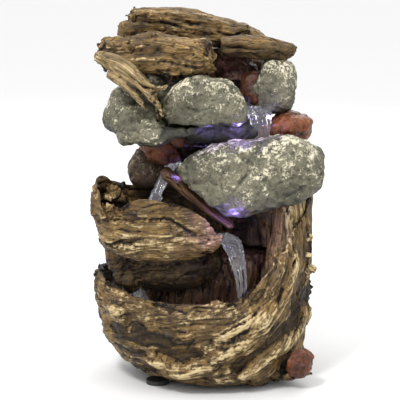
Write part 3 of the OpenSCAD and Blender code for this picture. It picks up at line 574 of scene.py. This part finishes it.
GOLD = wood_material("driftwood_gold", (0.225, 0.138, 0.048), (0.092, 0.056, 0.021), (0.009, 0.005, 0.003),
                     (0.62, 0.49, 0.27))
DARK = wood_material("driftwood_dark", (0.13, 0.070, 0.033), (0.085, 0.040, 0.022), (0.009, 0.005, 0.004),
                     (0.36, 0.25, 0.14), 0.6, 0.36)
CREAM = wood_material("root_cream", (0.34, 0.245, 0.12), (0.17, 0.115, 0.052), (0.014, 0.009, 0.005),
                      (0.74, 0.64, 0.42), 1.15)
GREY = stone_material("stone_grey", (0.178, 0.165, 0.110), (0.082, 0.078, 0.052), (0.010, 0.010, 0.008),
                      (0.62, 0.57, 0.42), 0.62)
BROWN = stone_material("stone_brown", (0.14, 0.092, 0.055), (0.075, 0.048, 0.03), (0.012, 0.008, 0.006),
                       (0.40, 0.33, 0.22), 0.5, 0.36)
RUST = stone_material("stone_rust", (0.19, 0.058, 0.020), (0.062, 0.021, 0.010), (0.006, 0.003, 0.002),
                      (0.34, 0.17, 0.085), 0.42, 0.32)
MAROON = stone_material("stone_maroon", (0.062, 0.017, 0.010), (0.026, 0.009, 0.006), (0.004, 0.002, 0.002),
                        (0.16, 0.07, 0.04), 0.3, 0.28)
POOL = stone_material("pool_rock", (0.075, 0.066, 0.046), (0.042, 0.037, 0.027), (0.008, 0.007, 0.006),
                      (0.28, 0.25, 0.18), 0.3, 0.26)


# ------------------------------------------------------------------------------ grain directions

def lengthwise(points, axis, steps=14, reach=9.0):
    """Grain that runs along an axis, bent to follow the piece's own middle line."""
    along = points[:, axis]
    places = np.linspace(along.min(), along.max(), steps)
    others = [k for k in range(3) if k != axis]
    g = points.copy()
    for k in others:
        middles = []
        for place in places:
            near = points[np.abs(along - place) < reach, k]
            middles.append((near.min() + near.max()) / 2)
        g[:, k] = points[:, k] - np.interp(along, places, middles)
    return g[:, [axis, *others]]


def hooped(points, centre):
    """Grain that runs round a bowl."""
    x, y = points[:, 0] - centre[0], points[:, 1] - centre[1]
    return np.stack([np.arctan2(x, -y) * BOWL_REACH, points[:, 2], np.hypot(x, y)], 1)


def swept(points, radius=76.0, start=2.0, top=116.0, spread=90.0):
    """The basin's grain: level on the left, then arcs that climb into the stump on the right.

    The arcs turn about a point at the height top, past start on the side unrolled at the radius.
    """
    x, y, z = points.T
    run = np.arctan2(x, -y) * radius
    right = np.maximum(run - start, 0)
    low = np.maximum(top - z + 0.10 * np.minimum(run, 0), 0)
    turn = np.arctan2(right, low)
    return np.stack([run + spread * turn, np.hypot(right, low), np.hypot(x, y)], 1)


def carve_wood(skin, grain_of, depth, seed=0.0, sculpt=None, end_axis=None):
    """Displaces a skin as wood and returns its grain and its paint, with any painted shade, for the material.

    The relief is held back on faces that look along end_axis, the sawn or broken ends.
    """
    skin.push(1.6 * noise(skin.points / 24 + seed) + 0.9 * noise(skin.points / 11 + seed) - 0.8)
    paint_and_shade = np.zeros(len(skin.points))
    if sculpt:
        height, paint_and_shade = sculpt(skin)
        skin.push(height)
    g = grain_of(skin.points) + seed * 7.0
    ends = 0.0 if end_axis is None else ramp(np.abs(skin.normals()[:, end_axis]), 0.45, 0.85)
    skin.push(wood_relief(g, depth) * (1 - 0.75 * ends))
    return g, paint_and_shade - 0.7 * ends


# ------------------------------------------------------------------------------ castings

def rim_of(points, centre, steps=64, nearest=14):
    """The highest points of a vessel round its middle, each of the nearest few by angle, as a closed path."""
    x, y = points[:, 0] - centre[0], points[:, 1] - centre[1]
    turn = np.arctan2(y, x)
    path = []
    for k in range(steps):
        a = -math.pi + 2 * math.pi * (k + 0.5) / steps
        off = np.abs((turn - a + math.pi) % (2 * math.pi) - math.pi)
        near = np.argsort(off)[:nearest]
        path.append(points[near[np.argmax(points[near, 2])]])
    return np.array(path)


def rim_parts(node, centre, radius, sink, seed):
    """An uneven lip along a vessel's rim, so that its edge is broken and thick."""
    path = rim_of(cad(node)[0], centre)
    for _ in range(2):
        path = (np.roll(path, 1, 0) + 2 * path + np.roll(path, -1, 0)) / 4
    width = radius * (1 + 0.5 * noise(path / 13 + seed))
    path[:, 2] -= sink + 1.5 * noise(path / 9 + seed + 5)
    lip = np.column_stack([path, width])
    return [tube(np.vstack([lip, lip[:2]]), 240, 10)]


def spot(x, z, radius=BASIN_REACH, limit=0.995):
    """Where a place of the front view lies on the basin's unrolled side."""
    return radius * math.asin(max(-limit, min(limit, x / radius))), z


def laid(path):
    """A front-view line of (x, z) points on the basin's unrolled side."""
    return [spot(x, z) for x, z in path]


def basin_sculpt(skin):
    """Height and paint, with painted shade, of the basin's folds, hollows and ridges, placed by x and z in
    the front view.
    """
    x, y, z = skin.points.T
    n = skin.normals()
    outward = ramp((n[:, :2] * skin.points[:, :2]).sum(1) / (np.hypot(x, y) + 1e-6), -0.2, 0.3)
    uv = np.stack([np.arctan2(x, -y) * BASIN_REACH, z], 1)
    uv = uv + np.stack([3.0 * noise(skin.points / 17 + 3), 2.2 * noise(skin.points / 13 + 8)], 1)
    groove = near_path(uv, laid([(24, 19), (38, 26), (55, 39), (66, 47), (76, 62)]))
    lip = near_path(uv, laid([(8, 12), (30, 15), (52, 27), (66, 36), (77, 48)]))
    fold = near_path(uv, laid([(-44, 22), (-22, 17), (2, 24), (22, 36), (44, 50), (60, 72), (64, 95)]))
    crest = near_path(uv, laid([(-4, 34), (10, 44), (24, 52), (42, 56)]))
    left = near_path(uv, laid([(-77, 62), (-62, 58), (-50, 64), (-44, 52)]))
    seam = near_path(uv, laid([(-70, 44), (-52, 38), (-34, 41), (-16, 37), (2, 42)]))
    stump = near_path(uv, laid([(40, 62), (53, 80), (58, 104), (61, 128)]))
    height = (-7.0 * bell(groove, 3.4) + 4.0 * bell(lip, 6.5) + 4.0 * bell(fold, 5.5) + 2.6 * bell(crest, 5.0)
              + 3.6 * bell(left, 5.5) - 2.4 * bell(seam, 3.0) + 2.0 * bell(stump, 8.0) - 2.0)
    height -= 7.0 * mound(uv, spot(-19, 30), (15, 5.0), 4)
    height -= 3.0 * mound(uv, spot(-48, 49), (6, 4), 20)
    height -= 3.0 * mound(uv, spot(14, 17), (8, 3.5), 10)
    height += 3.0 * mound(uv, spot(-5, 56), (34, 8), 4)
    height += 4.2 * mound(uv, spot(-62, 58), (9, 8), -20)
    height += 2.0 * mound(uv, spot(22, 50), (12, 4), 35)
    height += 2.4 * mound(uv, spot(-20, 15), (26, 6), 6)
    paint_and_shade = (0.85 * mound(uv, spot(-19, 29), (15, 5.5), 4) + 0.95 * bell(groove, 3.6)
             + 0.45 * mound(uv, spot(-48, 49), (5, 4), 20) + 0.3 * bell(seam, 3.0)
             + 0.35 * mound(uv, spot(52, 66), (5, 12), -20) + 0.5 * ramp(z, 12, 3)
             - 0.5 * bell(fold, 4.5) - 0.45 * bell(crest, 4.5) - 0.3 * bell(lip, 5.0)
             - 0.3 * mound(uv, spot(-5, 58), (40, 7), 4) - 0.3 * mound(uv, spot(-62, 62), (9, 9), -20))
    # Inside the rim, above the water, is painted shade.
    inner_shade = 0.9 * ramp(outward, 0.5, 0.05) * ramp(z, 90, 60)
    return height * outward, np.where(inner_shade > 0.05, np.maximum(paint_and_shade * outward, inner_shade), paint_and_shade * outward)


def make_basin():
    """The basin narrows below the height toe. Its left rim is lowered towards the height low_rim."""
    toe, low_rim = 36, 70
    ledge = blob((61, -35, 8), (17, 13, 6.5), lean=3)
    skin = Skin([cad("base_basin"), *rim_parts("base_basin", (0, 0), 2.6, 2.2, 1.0), ledge], 1.17)
    skin.smooth(8)
    x, _, z = skin.points.T
    tuck = (0.05 + 0.20 * ramp(-x, -10, 55)) * np.clip((toe - z) / toe, 0, 1) ** 2
    skin.points[:, :2] *= (1 - tuck)[:, None]
    side = ramp(-skin.points[:, 0], 30, 60)
    skin.points[:, 2] -= 0.5 * side * np.maximum(skin.points[:, 2] - low_rim, 0)
    g, paint_and_shade = carve_wood(skin, swept, 1.15, 1.0, basin_sculpt)
    skin.points[:, 2] = np.maximum(skin.points[:, 2], cad("rubber_feet")[0][:, 2].max() - 0.5)
    skin.piece("basin_bark", GOLD, ["base_basin"], "driftwood_gold", g, paint_and_shade)


def bowl_sculpt(centre):
    """Height and paint, with painted shade, of the log bowl's knots, hollows and lips, in distances round it
    and heights.
    """
    def sculpt(skin):
        x, y, z = skin.points.T
        dx, dy = x - centre[0], y - centre[1]
        n = skin.normals()
        outward = ramp((n[:, 0] * dx + n[:, 1] * dy) / (np.hypot(dx, dy) + 1e-6), -0.2, 0.3)
        uv = np.stack([np.arctan2(dx, -dy) * BOWL_REACH, z], 1)
        uv = uv + np.stack([2.5 * noise(skin.points / 14 + 3), 2.0 * noise(skin.points / 11 + 8)], 1)
        knots = mound(uv, (-62, 128), (8, 9)) + mound(uv, (-50, 108), (9, 7)) + mound(uv, (-80, 112), (10, 8))
        hollows = mound(uv, (-53, 121), (5, 3)) + mound(uv, (-70, 98), (7, 4))
        low_lip = near_path(uv, [(-45, 99), (-20, 97), (5, 98), (30, 102), (48, 108)])
        height = 3.5 * knots - 3.5 * hollows + 1.2 * bell(low_lip, 5.0)
        height += 2.2 * mound(uv, (0, 108), (40, 7), 2)
        # Below its lip and inside it the bowl gets painted shade.
        under = ramp(z + 1.5 * noise(skin.points / 6), 96.5, 91)
        inner_shade = ramp(outward, 0.5, 0.1) * ramp(z, 165, 120)
        bright = 0.45 * mound(uv, (-2, 110), (38, 9), 2)
        return height * outward, np.maximum.reduce([0.4 * hollows, 0.95 * under, 0.75 * inner_shade]) - bright
    return sculpt


def make_bowl():
    low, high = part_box("log_bowl")
    centre = ((low.x + high.x) / 2 / MM, (low.y + high.y) / 2 / MM)
    skirt = blob((-28, -18, 84), (40, 30, 19))
    flank = tube([(-62, -14, 140, 9), (-65, -24, 118, 12), (-63, -30, 100, 12), (-57, -32, 84, 11),
                  (-48, -30, 70, 9)], 24, 16)
    skin = Skin([cad("log_bowl"), skirt, flank, *rim_parts("log_bowl", centre, 2.8, 1.8, 3.0)], 0.85)
    skin.smooth(6)
    front = ramp(centre[1] - skin.points[:, 1], 4, 24) * ramp(skin.points[:, 0], -66, -50)
    skin.points[:, 2] += 7.5 * front * ramp(skin.points[:, 2], 104, 126)
    g, paint_and_shade = carve_wood(skin, lambda p: hooped(p, centre), 1.1, 4.4, bowl_sculpt(centre))
    skin.piece("bowl_bark", GOLD, ["log_bowl"], "driftwood_gold", g, paint_and_shade)


def splinter(skin, axis, reach):
    """Breaks up the two ends of a log into splinters, in and out by up to about the reach."""
    n = skin.normals()[:, axis]
    others = [k for k in range(3) if k != axis]
    q = np.stack([skin.points[:, others[0]] / 5.0, skin.points[:, others[1]] / 5.0, np.sign(n) * 9.0], 1)
    shift = reach * (noise(q) - 0.2) * ramp(np.abs(n), 0.35, 0.9) * np.sign(n)
    skin.points[:, axis] += shift


def make_wood(name, node, material, axis, voxel, depth, extra=(), seed=0.0, smooth=6, ends=0.0, shade=None,
              pits=0.0):
    """A wooden piece with its grain along an axis. ends is how far its ends splinter, shade its own painted
    shade, which may also lighten part of it.
    """
    skin = Skin([cad(node), *extra], voxel)
    skin.smooth(smooth)
    if ends:
        splinter(skin, axis, ends)
    g, paint_and_shade = carve_wood(skin, lambda p: lengthwise(p, axis), depth, seed, end_axis=axis if ends else None)
    skin.push(pits * (0.8 * noise(skin.points / 5) - 1.3 * ramp(noise(skin.points / 3.4 + 19), 0.15, 0.6)))
    n = skin.normals()
    # Faces that look down get painted shade.
    paint_and_shade = np.maximum(paint_and_shade, 0.75 * ramp(n[:, 2], -0.1, -0.8))
    if shade:
        paint_and_shade = np.where(paint_and_shade > 0.2, np.maximum(paint_and_shade, shade(skin.points)), shade(skin.points))
    calm = 0.7 * ramp(np.abs(n[:, axis]), 0.45, 0.8) if ends else 0.0
    skin.piece(name, material, [node], SLOTS[node], g, paint_and_shade, calm)


def make_stone(name, node, material, voxel, depth, extra=(), seed=0.0, smooth=6, shade=None, dome=0.0):
    """A stone with painted shade underneath, darker low down from painted shade and darker paint. dome lowers
    its upper corners, to round it.
    """
    skin = Skin([cad(node), *extra], voxel)
    skin.smooth(smooth)
    if dome:
        low, high = skin.points.min(0), skin.points.max(0)
        out = np.abs((skin.points[:, 0] - (low[0] + high[0]) / 2) / ((high[0] - low[0]) / 2))
        up = (skin.points[:, 2] - low[2]) / (high[2] - low[2])
        skin.points[:, 2] -= dome * (high[2] - low[2]) * out ** 3 * up
    skin.push(stone_relief(skin.points, depth, seed) - 0.4)
    # Faces that look down get painted shade.
    paint_and_shade = 0.8 * ramp(skin.normals()[:, 2] + 0.2 * noise(skin.points / 9), -0.25, -0.9)
    low, high = skin.points[:, 2].min(), skin.points[:, 2].max()
    up = (skin.points[:, 2] - low) / (high - low) + 0.12 * noise(skin.points / 10)
    # Low down it gets painted shade and darker paint, and its top is made paler.
    paint_and_shade = np.maximum(paint_and_shade, 0.6 * ramp(up, 0.4, 0.0)) - 0.35 * ramp(up, 0.5, 0.95)
    if shade:
        paint_and_shade = np.maximum(paint_and_shade, shade(skin.points))
    skin.piece(name, material, [node], SLOTS[node], None, paint_and_shade)


def trunk_roots():
    """Roots that climb the back and sides of the trunk, clear of the hatch and the gland."""
    tree = rays("trunk_shell")
    low, high = (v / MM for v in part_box("trunk_shell"))
    left, right = (v.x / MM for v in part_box("pump_hatch"))
    middle = (low.y + high.y) / 2
    far = 200  # well outside the trunk, where the rays start
    clear = 13  # from the hatch's edge to a root's middle
    starts = [((left - clear, far), (0, -1)), ((right + clear, far), (0, -1)), ((left - 24, far), (0, -1)),
              ((far, middle + 6), (-1, 0)), ((-far, middle + 8), (1, 0)), ((-far, middle - 8), (1, 0))]
    roots = []
    for k, (start, way) in enumerate(starts):
        path = []
        for z in np.linspace(low.z + 30, high.z - 8, 9):
            sway = 2.5 * math.sin(z / 19 + 2.1 * k)
            at = Vector((start[0] + sway * abs(way[1]), start[1] + sway * abs(way[0]), z))
            hit = tree.ray_cast(at, Vector((*way, 0)))[0]
            if hit:
                radius = 5.5 + 1.6 * math.sin(z / 23 + 1.3 * k)
                path.append((hit.x + way[0] * 0.55 * radius, hit.y + way[1] * 0.55 * radius, z, radius))
        if len(path) > 3:
            roots.append(tube(path, 44, 12))
    return roots


make_basin()
make_bowl()
make_wood("trunk_wood", "trunk_shell", DARK, 2, 1.25, 1.5, seed=5.0, extra=trunk_roots())
make_wood("flare_wood", "root_flare", GOLD, 2, 0.95, 1.2, seed=6.0,
          extra=[tube([(47, -34, 66, 12), (50, -31, 88, 12), (55, -24, 112, 12), (58, -18, 136, 13)], 24, 16),
                 tube([(61, -14, 74, 9), (63, -12, 100, 9), (62, -8, 136, 10)], 24, 16),
                 blob((69, -20, 103), (6, 7, 4.5), lean=20), blob((70, -22, 92), (5, 6, 3.6)),
                 blob((72, -24, 82), (6, 7, 4.4), lean=15)],
          shade=lambda p: 0.95 * ramp(p[:, 0] + 3 * noise(p / 12), 46, 37) - 0.6 * ramp(p[:, 0], 48, 58))
make_wood("plank_wood", "leaning_slab", DARK, 0, 0.7, 0.9, seed=7.0)
make_wood("back_log", "log_back", GOLD, 0, 0.8, 1.25, seed=8.0, ends=3.5, pits=0.45,
          extra=[blob((-55, 14, 246), (9, 13, 8)), blob((-37, 3, 256), (7, 5, 6)),
                 blob((24, 12, 247), (8, 8, 5)), blob((-46, 12, 257), (8, 8, 5))])
make_wood("front_log", "log_front", GOLD, 0, 0.8, 1.1, seed=9.0, ends=4.0, pits=0.7,
          extra=[blob((-36, -24, 244), (8, 8, 5)), blob((-2, -22, 238), (8, 10, 5)),
                 blob((-60, -22, 240), (9, 8, 5))])
make_wood("right_log", "log_right", GOLD, 0, 0.7, 1.05, seed=10.0, ends=1.6,
          shade=lambda p: 0.75 * ramp(p[:, 2] + 2 * noise(p / 8), 244, 237))
make_wood("cream_root", "twisted_root", CREAM, 0, 0.6, 1.1, seed=11.0, smooth=3,
          extra=[tube([(-75, -41, 233, 4), (-63, -43, 228, 6), (-52, -45, 220, 6), (-42, -47, 211, 5.5),
                       (-34, -50, 202, 4.6), (-29, -51, 193, 3.4)], 34, 14, 0.8),
                 tube([(-44, -47, 215, 4), (-36, -50, 211, 4), (-30, -52, 212, 2.8),
                       (-26, -51, 215, 1.6)], 20, 12),
                 tube([(-66, -43, 222, 3.5), (-54, -49, 213, 3.0), (-44, -51, 202, 2.2),
                       (-40, -51, 195, 1.6)], 24, 12)])
make_stone("dish_rock", "stone_dish", POOL, 0.9, 0.6, seed=1.0, smooth=4)
make_stone("upper_dish_rock", "upper_dish", POOL, 0.9, 0.6, seed=2.0, smooth=4)
make_stone("big_grey_stone", "big_stone", GREY, 0.85, 1.0, seed=3.0)
make_stone("side_dark_stone", "side_stone", BROWN, 0.6, 0.9, seed=4.0)
make_stone("rust_left_stone", "rust_stone_left", RUST, 0.7, 1.0, seed=5.0,
           extra=[blob((-34, -16, 166), (12, 9, 11)), blob((-8, -22, 174), (22, 6, 6))],
           shade=lambda p: 0.9 * ramp(p[:, 0] + 3 * noise(p / 8), -22, -12))
make_stone("rust_right_stone", "rust_stone_right", RUST, 0.75, 1.0, seed=6.0,
           extra=[blob((52, -20, 181), (22, 10, 8), lean=14), blob((26, -21, 173), (26, 6, 5), lean=6)],
           shade=lambda p: 0.9 * ramp(p[:, 0] + 3 * noise(p / 8), 34, 22))
make_stone("grey_left_boulder", "grey_boulder_left", GREY, 0.8, 1.0, seed=7.0,
           extra=[blob((-47, -24, 186), (22, 15, 15), lean=-8), blob((-56, -12, 196), (18, 18, 16)),
                  blob((-37, -8, 210), (17, 15, 13))], dome=0.42)
make_stone("grey_ledge_rock", "grey_ledge", GREY, 0.7, 1.0, seed=8.0,
           extra=[blob((-42, -36, 181), (20, 14, 10), lean=-10), blob((5, -32, 182), (30, 8, 9), lean=-6)],
           shade=lambda p: 0.95 * ramp(p[:, 0] + 4 * noise(p / 9), -36, -24))
make_stone("grey_middle_stone", "grey_stone_front", GREY, 0.75, 1.0, seed=9.0, dome=0.22)
make_stone("grey_right_stone", "grey_stone_right", GREY, 0.7, 1.0, seed=10.0,
           extra=[blob((46, -13, 207), (16, 14, 18), lean=12)], dome=0.2)
make_stone("rust_pebble_rock", "rust_pebble", RUST, 0.5, 0.9, seed=11.0, smooth=4,
           extra=[blob((33, -17, 204), (6, 8, 9), lean=15)], shade=lambda p: 0.6)
make_stone("maroon_rock", "dark_red_stone", MAROON, 0.7, 1.2, seed=12.0)
make_stone("base_pebble_rock", "base_pebble", RUST, 0.5, 0.9, seed=13.0, smooth=4,
           shade=lambda p: 0.5)

# ------------------------------------------------------------------------------ carried-over parts

def lid_material():
    """The hatch: moulded and brushed to match the bark, from object coordinates only."""
    g = Graph("hatch_brown")
    stretch = g.stretched(g.where, (1.0, 1.0, 0.12))
    streaks = g.noise(2.2, 5.0, stretch, rough=0.65)
    blots = g.noise(8, 4.0, rough=0.65)
    base = g.mix(g.scale(blots, 0.35, 0.65), (0.065, 0.033, 0.018), (0.115, 0.062, 0.030))
    base = g.mix(g.scale(streaks, 0.52, 0.34, 0.0, 0.8), base, (0.012, 0.008, 0.005))
    base = g.mix(g.scale(streaks, 0.56, 0.68, 0.0, 0.6), base, (0.27, 0.18, 0.10))
    rough = g.scale(blots, 0.3, 0.7, 0.42, 0.6)
    return g.finish(base, rough, g.bump(streaks, 0.6, 0.5), Specular_IOR_Level=0.25)


PLASTICS = {
    "rubber_black": ((0.02, 0.02, 0.02), 0.7),
    "pump_black": ((0.022, 0.023, 0.026), 0.4),
    "dial_blue": ((0.05, 0.16, 0.38), 0.38),
    "magnet_grey": ((0.07, 0.07, 0.072), 0.5),
    "impeller_white": ((0.72, 0.72, 0.69), 0.4),
    "shaft_ceramic": ((0.82, 0.82, 0.78), 0.22),
    "tube_clear": ((0.7, 0.76, 0.78), 0.16),
    "clamp_steel": ((0.55, 0.55, 0.57), 0.3),
    "led_housing": ((0.03, 0.03, 0.033), 0.35),
    "led_lens": ((0.6, 0.58, 1.0), 0.3),
    "lead_black": ((0.018, 0.018, 0.018), 0.5),
}
SPECIAL = {
    "tube_clear": {"Transmission_Weight": 0.75, "IOR": 1.45},
    "clamp_steel": {"Metallic": 1.0},
    "led_lens": {"Emission_Color": (0.42, 0.34, 1.0), "Emission_Strength": 6.0},
}
PLAIN = {slot: plastic_material(slot, *look, **SPECIAL.get(slot, {})) for slot, look in PLASTICS.items()}
PLAIN["hatch_brown"] = lid_material()
for node, slot in SLOTS.items():
    if slot in PLAIN:
        mesh = frame["nodes"][node].data
        mesh.materials.clear()
        mesh.materials.append(PLAIN[slot])

# ------------------------------------------------------------------------------ water

def water_material(name, upright):
    """Clear water. upright stretches its ripples down a fall."""
    g = Graph(name)
    stretch = g.stretched(g.where, (1.0, 1.0, upright))
    ripple = g.noise(3.2, 3.0, stretch)
    fine = g.noise(1.2, 2.0, stretch)
    normal = g.bump(fine, 0.35, 0.4, g.bump(ripple, 0.5, 1.0))
    # The faint emission is a painted glow, standing for the water's brightness where the pool lights shine
    # through it.
    return g.finish((0.97, 0.98, 1.0), g.scale(ripple, 0.3, 0.7, 0.01, 0.05), normal, Transmission_Weight=1.0,
                    IOR=1.30, Emission_Color=(0.88, 0.88, 1.0), Emission_Strength=0.05)


WATER = water_material("water", 1.0)
FALLING = water_material("falling_water", 0.12)
BASIN_LEVEL, BOWL_LEVEL, DISH_LEVEL, UPPER_LEVEL = 56, 108, 151.5, 195.5


def plain_mesh(name, points, faces, material, slot):
    """A smooth piece from points in millimetres, which stands for no CAD node."""
    mesh = bpy.data.meshes.new(name)
    mesh.from_pydata([tuple(np.array(p) * MM) for p in points], [], faces)
    mesh.update()
    mesh.shade_smooth()
    mesh.materials.append(material)
    settle(add(name, mesh), CASTING, slot)


def make_pool(name, node, centre, level, splash):
    """A rippled sheet that reaches a little way into the vessel's wall all round.

    lap is how far, and spill is its radius where there is no wall. A fall lands at the place splash.
    """
    tree = rays(node)
    rings, sides = 26, 72
    lap, spill = 1.8, 8.0
    points = [(centre[0], centre[1], level)]
    edge = []
    for j in range(sides):
        a = 2 * math.pi * j / sides
        out = Vector((math.cos(a), math.sin(a), 0))
        hit = tree.ray_cast(Vector((*centre, level)), out)[0]
        edge.append((hit.xy - Vector(centre)).length + lap if hit else spill)
    for i in range(1, rings + 1):
        for j in range(sides):
            a = 2 * math.pi * j / sides
            r = edge[j] * i / rings
            points.append((centre[0] + r * math.cos(a), centre[1] + r * math.sin(a), level))
    points = np.array(points)
    d = np.hypot(points[:, 0] - splash[0], points[:, 1] - splash[1])
    waves = 0.7 * np.sin(d * 1.15) * np.exp(-d / 16)
    points[:, 2] += waves + 0.35 * noise(points / 6.5) + 1.6 * bell(d, 4)
    faces = [(0, 1 + j, 1 + (j + 1) % sides) for j in range(sides)]
    for i in range(rings - 1):
        for j in range(sides):
            a, b = 1 + i * sides + j, 1 + i * sides + (j + 1) % sides
            faces.append((a, a + sides, b + sides, b))
    plain_mesh(name, points, faces, WATER, "water")


def make_fall(name, strands, sheet, seed):
    """A fall of several strands and a thin sheet between them. Each is a path of (x, y, z, radius)."""
    skin = Skin([*[tube(path, 40, 12, 0.7) for path in strands], tube(sheet, 30, 20, 0.16)], 0.42)
    skin.smooth(3)
    skin.push(0.40 * noise(skin.points * np.array([0.55, 0.55, 0.16]) + seed)
              + 0.3 * noise(skin.points * np.array([1.1, 1.1, 0.3]) + seed))
    skin.piece(name, FALLING, [], "water")


make_pool("water_basin", "base_basin", (-30, -36), BASIN_LEVEL, (22, -44))
make_pool("water_bowl", "log_bowl", (-36, -26), BOWL_LEVEL, (-40, -30))
make_pool("water_dish", "stone_dish", (18, -4), DISH_LEVEL, (34, -12))
make_pool("water_upper", "upper_dish", (0, -4), UPPER_LEVEL, (-14, 4))

make_fall("fall_upper", [
    [(27, -24, 196, 2.0), (29, -29, 192, 1.9), (32, -32, 182, 1.5), (35, -32, 168, 1.2), (36, -31, 158, 1.4)],
    [(34, -24, 196, 2.0), (35, -30, 192, 1.9), (36, -33, 182, 1.4), (38, -33, 169, 1.2), (37, -31, 158, 1.4)],
    [(41, -23, 196, 1.9), (42, -29, 192, 1.8), (42, -32, 182, 1.2), (40, -32, 170, 1.0), (39, -30, 158, 1.2)],
    [(30, -26, 195, 1.5), (37, -31, 189, 1.3), (40, -33, 178, 1.0), (38, -32, 160, 1.1)],
], [(34, -22, 196, 7.0), (35, -30, 193, 7.0), (36, -32, 184, 4.6), (37, -32, 174, 2.6)], 1.0)
make_fall("fall_middle", [
    [(-22, -8, 155, 2.2), (-27, -18, 153, 2.1), (-32, -27, 143, 1.7), (-36, -33, 128, 1.4),
     (-37, -34, 108, 1.6)],
    [(-20, -8, 155, 2.0), (-25, -20, 152, 1.9), (-31, -30, 140, 1.4), (-39, -33, 124, 1.2),
     (-41, -34, 108, 1.3)],
    [(-25, -7, 155, 1.8), (-29, -17, 152, 1.7), (-36, -26, 140, 1.3), (-43, -30, 124, 1.1),
     (-46, -31, 108, 1.3)],
], [(-22, -8, 155, 3.0), (-27, -18, 152, 3.4), (-33, -28, 141, 4.2), (-38, -32, 126, 4.4),
    (-41, -33, 112, 3.0)], 2.0)
make_fall("fall_lower", [
    [(3, -38, 109, 1.9), (10, -48, 107, 1.8), (15, -54, 98, 1.2), (20, -55, 82, 1.0), (23, -54, 56, 1.2)],
    [(8, -36, 109, 2.0), (15, -45, 107, 1.9), (20, -51, 97, 1.3), (23, -53, 80, 1.1), (24, -53, 56, 1.3)],
    [(13, -33, 109, 1.9), (21, -41, 106, 1.8), (24, -47, 97, 1.3), (26, -51, 82, 1.0), (25, -52, 56, 1.2)],
], [(8, -36, 109, 6.0), (15, -45, 107, 6.6), (20, -51, 98, 4.6), (22, -53, 88, 2.6)], 3.0)

# ------------------------------------------------------------------------------ floor, light, camera

def make_floor(half=30.0):
    """A plain pale floor that reaches past the picture on every side."""
    mesh = bpy.data.meshes.new("floor")
    corners = [(-half, -half, 0), (half, -half, 0), (half, half, 0), (-half, half, 0)]
    mesh.from_pydata(corners, [], [(0, 1, 2, 3)])
    g = Graph("pale_floor")
    mesh.materials.append(g.finish((0.66, 0.66, 0.66), g.scale(g.noise(40), 0.3, 0.7, 0.85, 0.95)))
    add("floor", mesh)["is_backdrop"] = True


def area_light(name, place, size, power, target=(0, 0, 0.13)):
    """A white disk, in metres and watts, that faces the target."""
    data = bpy.data.lights.new(name, "AREA")
    data.shape = "DISK"
    data.size = size
    data.energy = power
    light = add(name, data)
    light.location = place
    light.rotation_euler = (Vector(target) - Vector(place)).to_track_quat("-Z", "Y").to_euler()


def glow(name, place, power, size=0.003):
    """A violet light that stands for the spill of a pool light through its fall."""
    data = bpy.data.lights.new(name, "POINT")
    data.energy = power
    data.color = (0.36, 0.26, 1.0)
    data.shadow_soft_size = size
    add(name, data).location = [v * MM for v in place]


def make_lights():
    """Three soft lights, the violet glows and a sky that grows brighter with height."""
    area_light("key", (-0.35, -0.75, 1.0), 0.22, 10.5)
    area_light("fill", (0.9, -0.6, 0.5), 0.6, 2.0)
    area_light("back", (0.3, 0.9, 0.8), 0.7, 4)
    glow("glow_upper", (22, -46, 186), 0.024)
    glow("glow_upper_left", (0, -46, 180), 0.004)
    glow("glow_upper_right", (42, -30, 190), 0.006)
    glow("glow_middle", (-20, -36, 150), 0.008)
    glow("glow_lower", (18, -58, 124), 0.034)
    glow("glow_lower_bowl", (10, -60, 104), 0.006)
    world = bpy.data.worlds.new("studio")
    bpy.context.scene.world = world
    world.use_nodes = True
    nodes, links = world.node_tree.nodes, world.node_tree.links
    split = nodes.new("ShaderNodeSeparateXYZ")
    links.new(nodes.new("ShaderNodeTexCoord").outputs["Generated"], split.inputs[0])
    climb = nodes.new("ShaderNodeMapRange")
    for key, number in (("From Min", 0.0), ("From Max", 0.9), ("To Min", 0.55), ("To Max", 1.7)):
        climb.inputs[key].default_value = number
    links.new(split.outputs["Z"], climb.inputs["Value"])
    links.new(climb.outputs[0], nodes["Background"].inputs[1])
    nodes["Background"].inputs[0].default_value = (1, 1, 1, 1)


def make_camera(azimuth=0.0, elevation=11.0, distance=1.15, lens=146.0):
    """The photograph's view. shift moves the fountain to where it stands in the photograph's frame."""
    shift = Vector((-0.0045, 0, -0.0041))
    data = bpy.data.cameras.new("camera")
    data.lens = lens
    data.sensor_width = 36
    camera = add("camera", data)
    low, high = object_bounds()
    target = (low + high) / 2 + shift
    a, e = math.radians(azimuth), math.radians(elevation)
    away = Vector((math.sin(a) * math.cos(e), -math.cos(a) * math.cos(e), math.sin(e)))
    camera.location = target + away * distance
    camera.rotation_euler = (-away).to_track_quat("-Z", "Y").to_euler()
    bpy.context.scene.camera = camera


make_floor()
make_lights()
make_camera()
bpy.context.scene.view_settings.view_transform = "Standard"
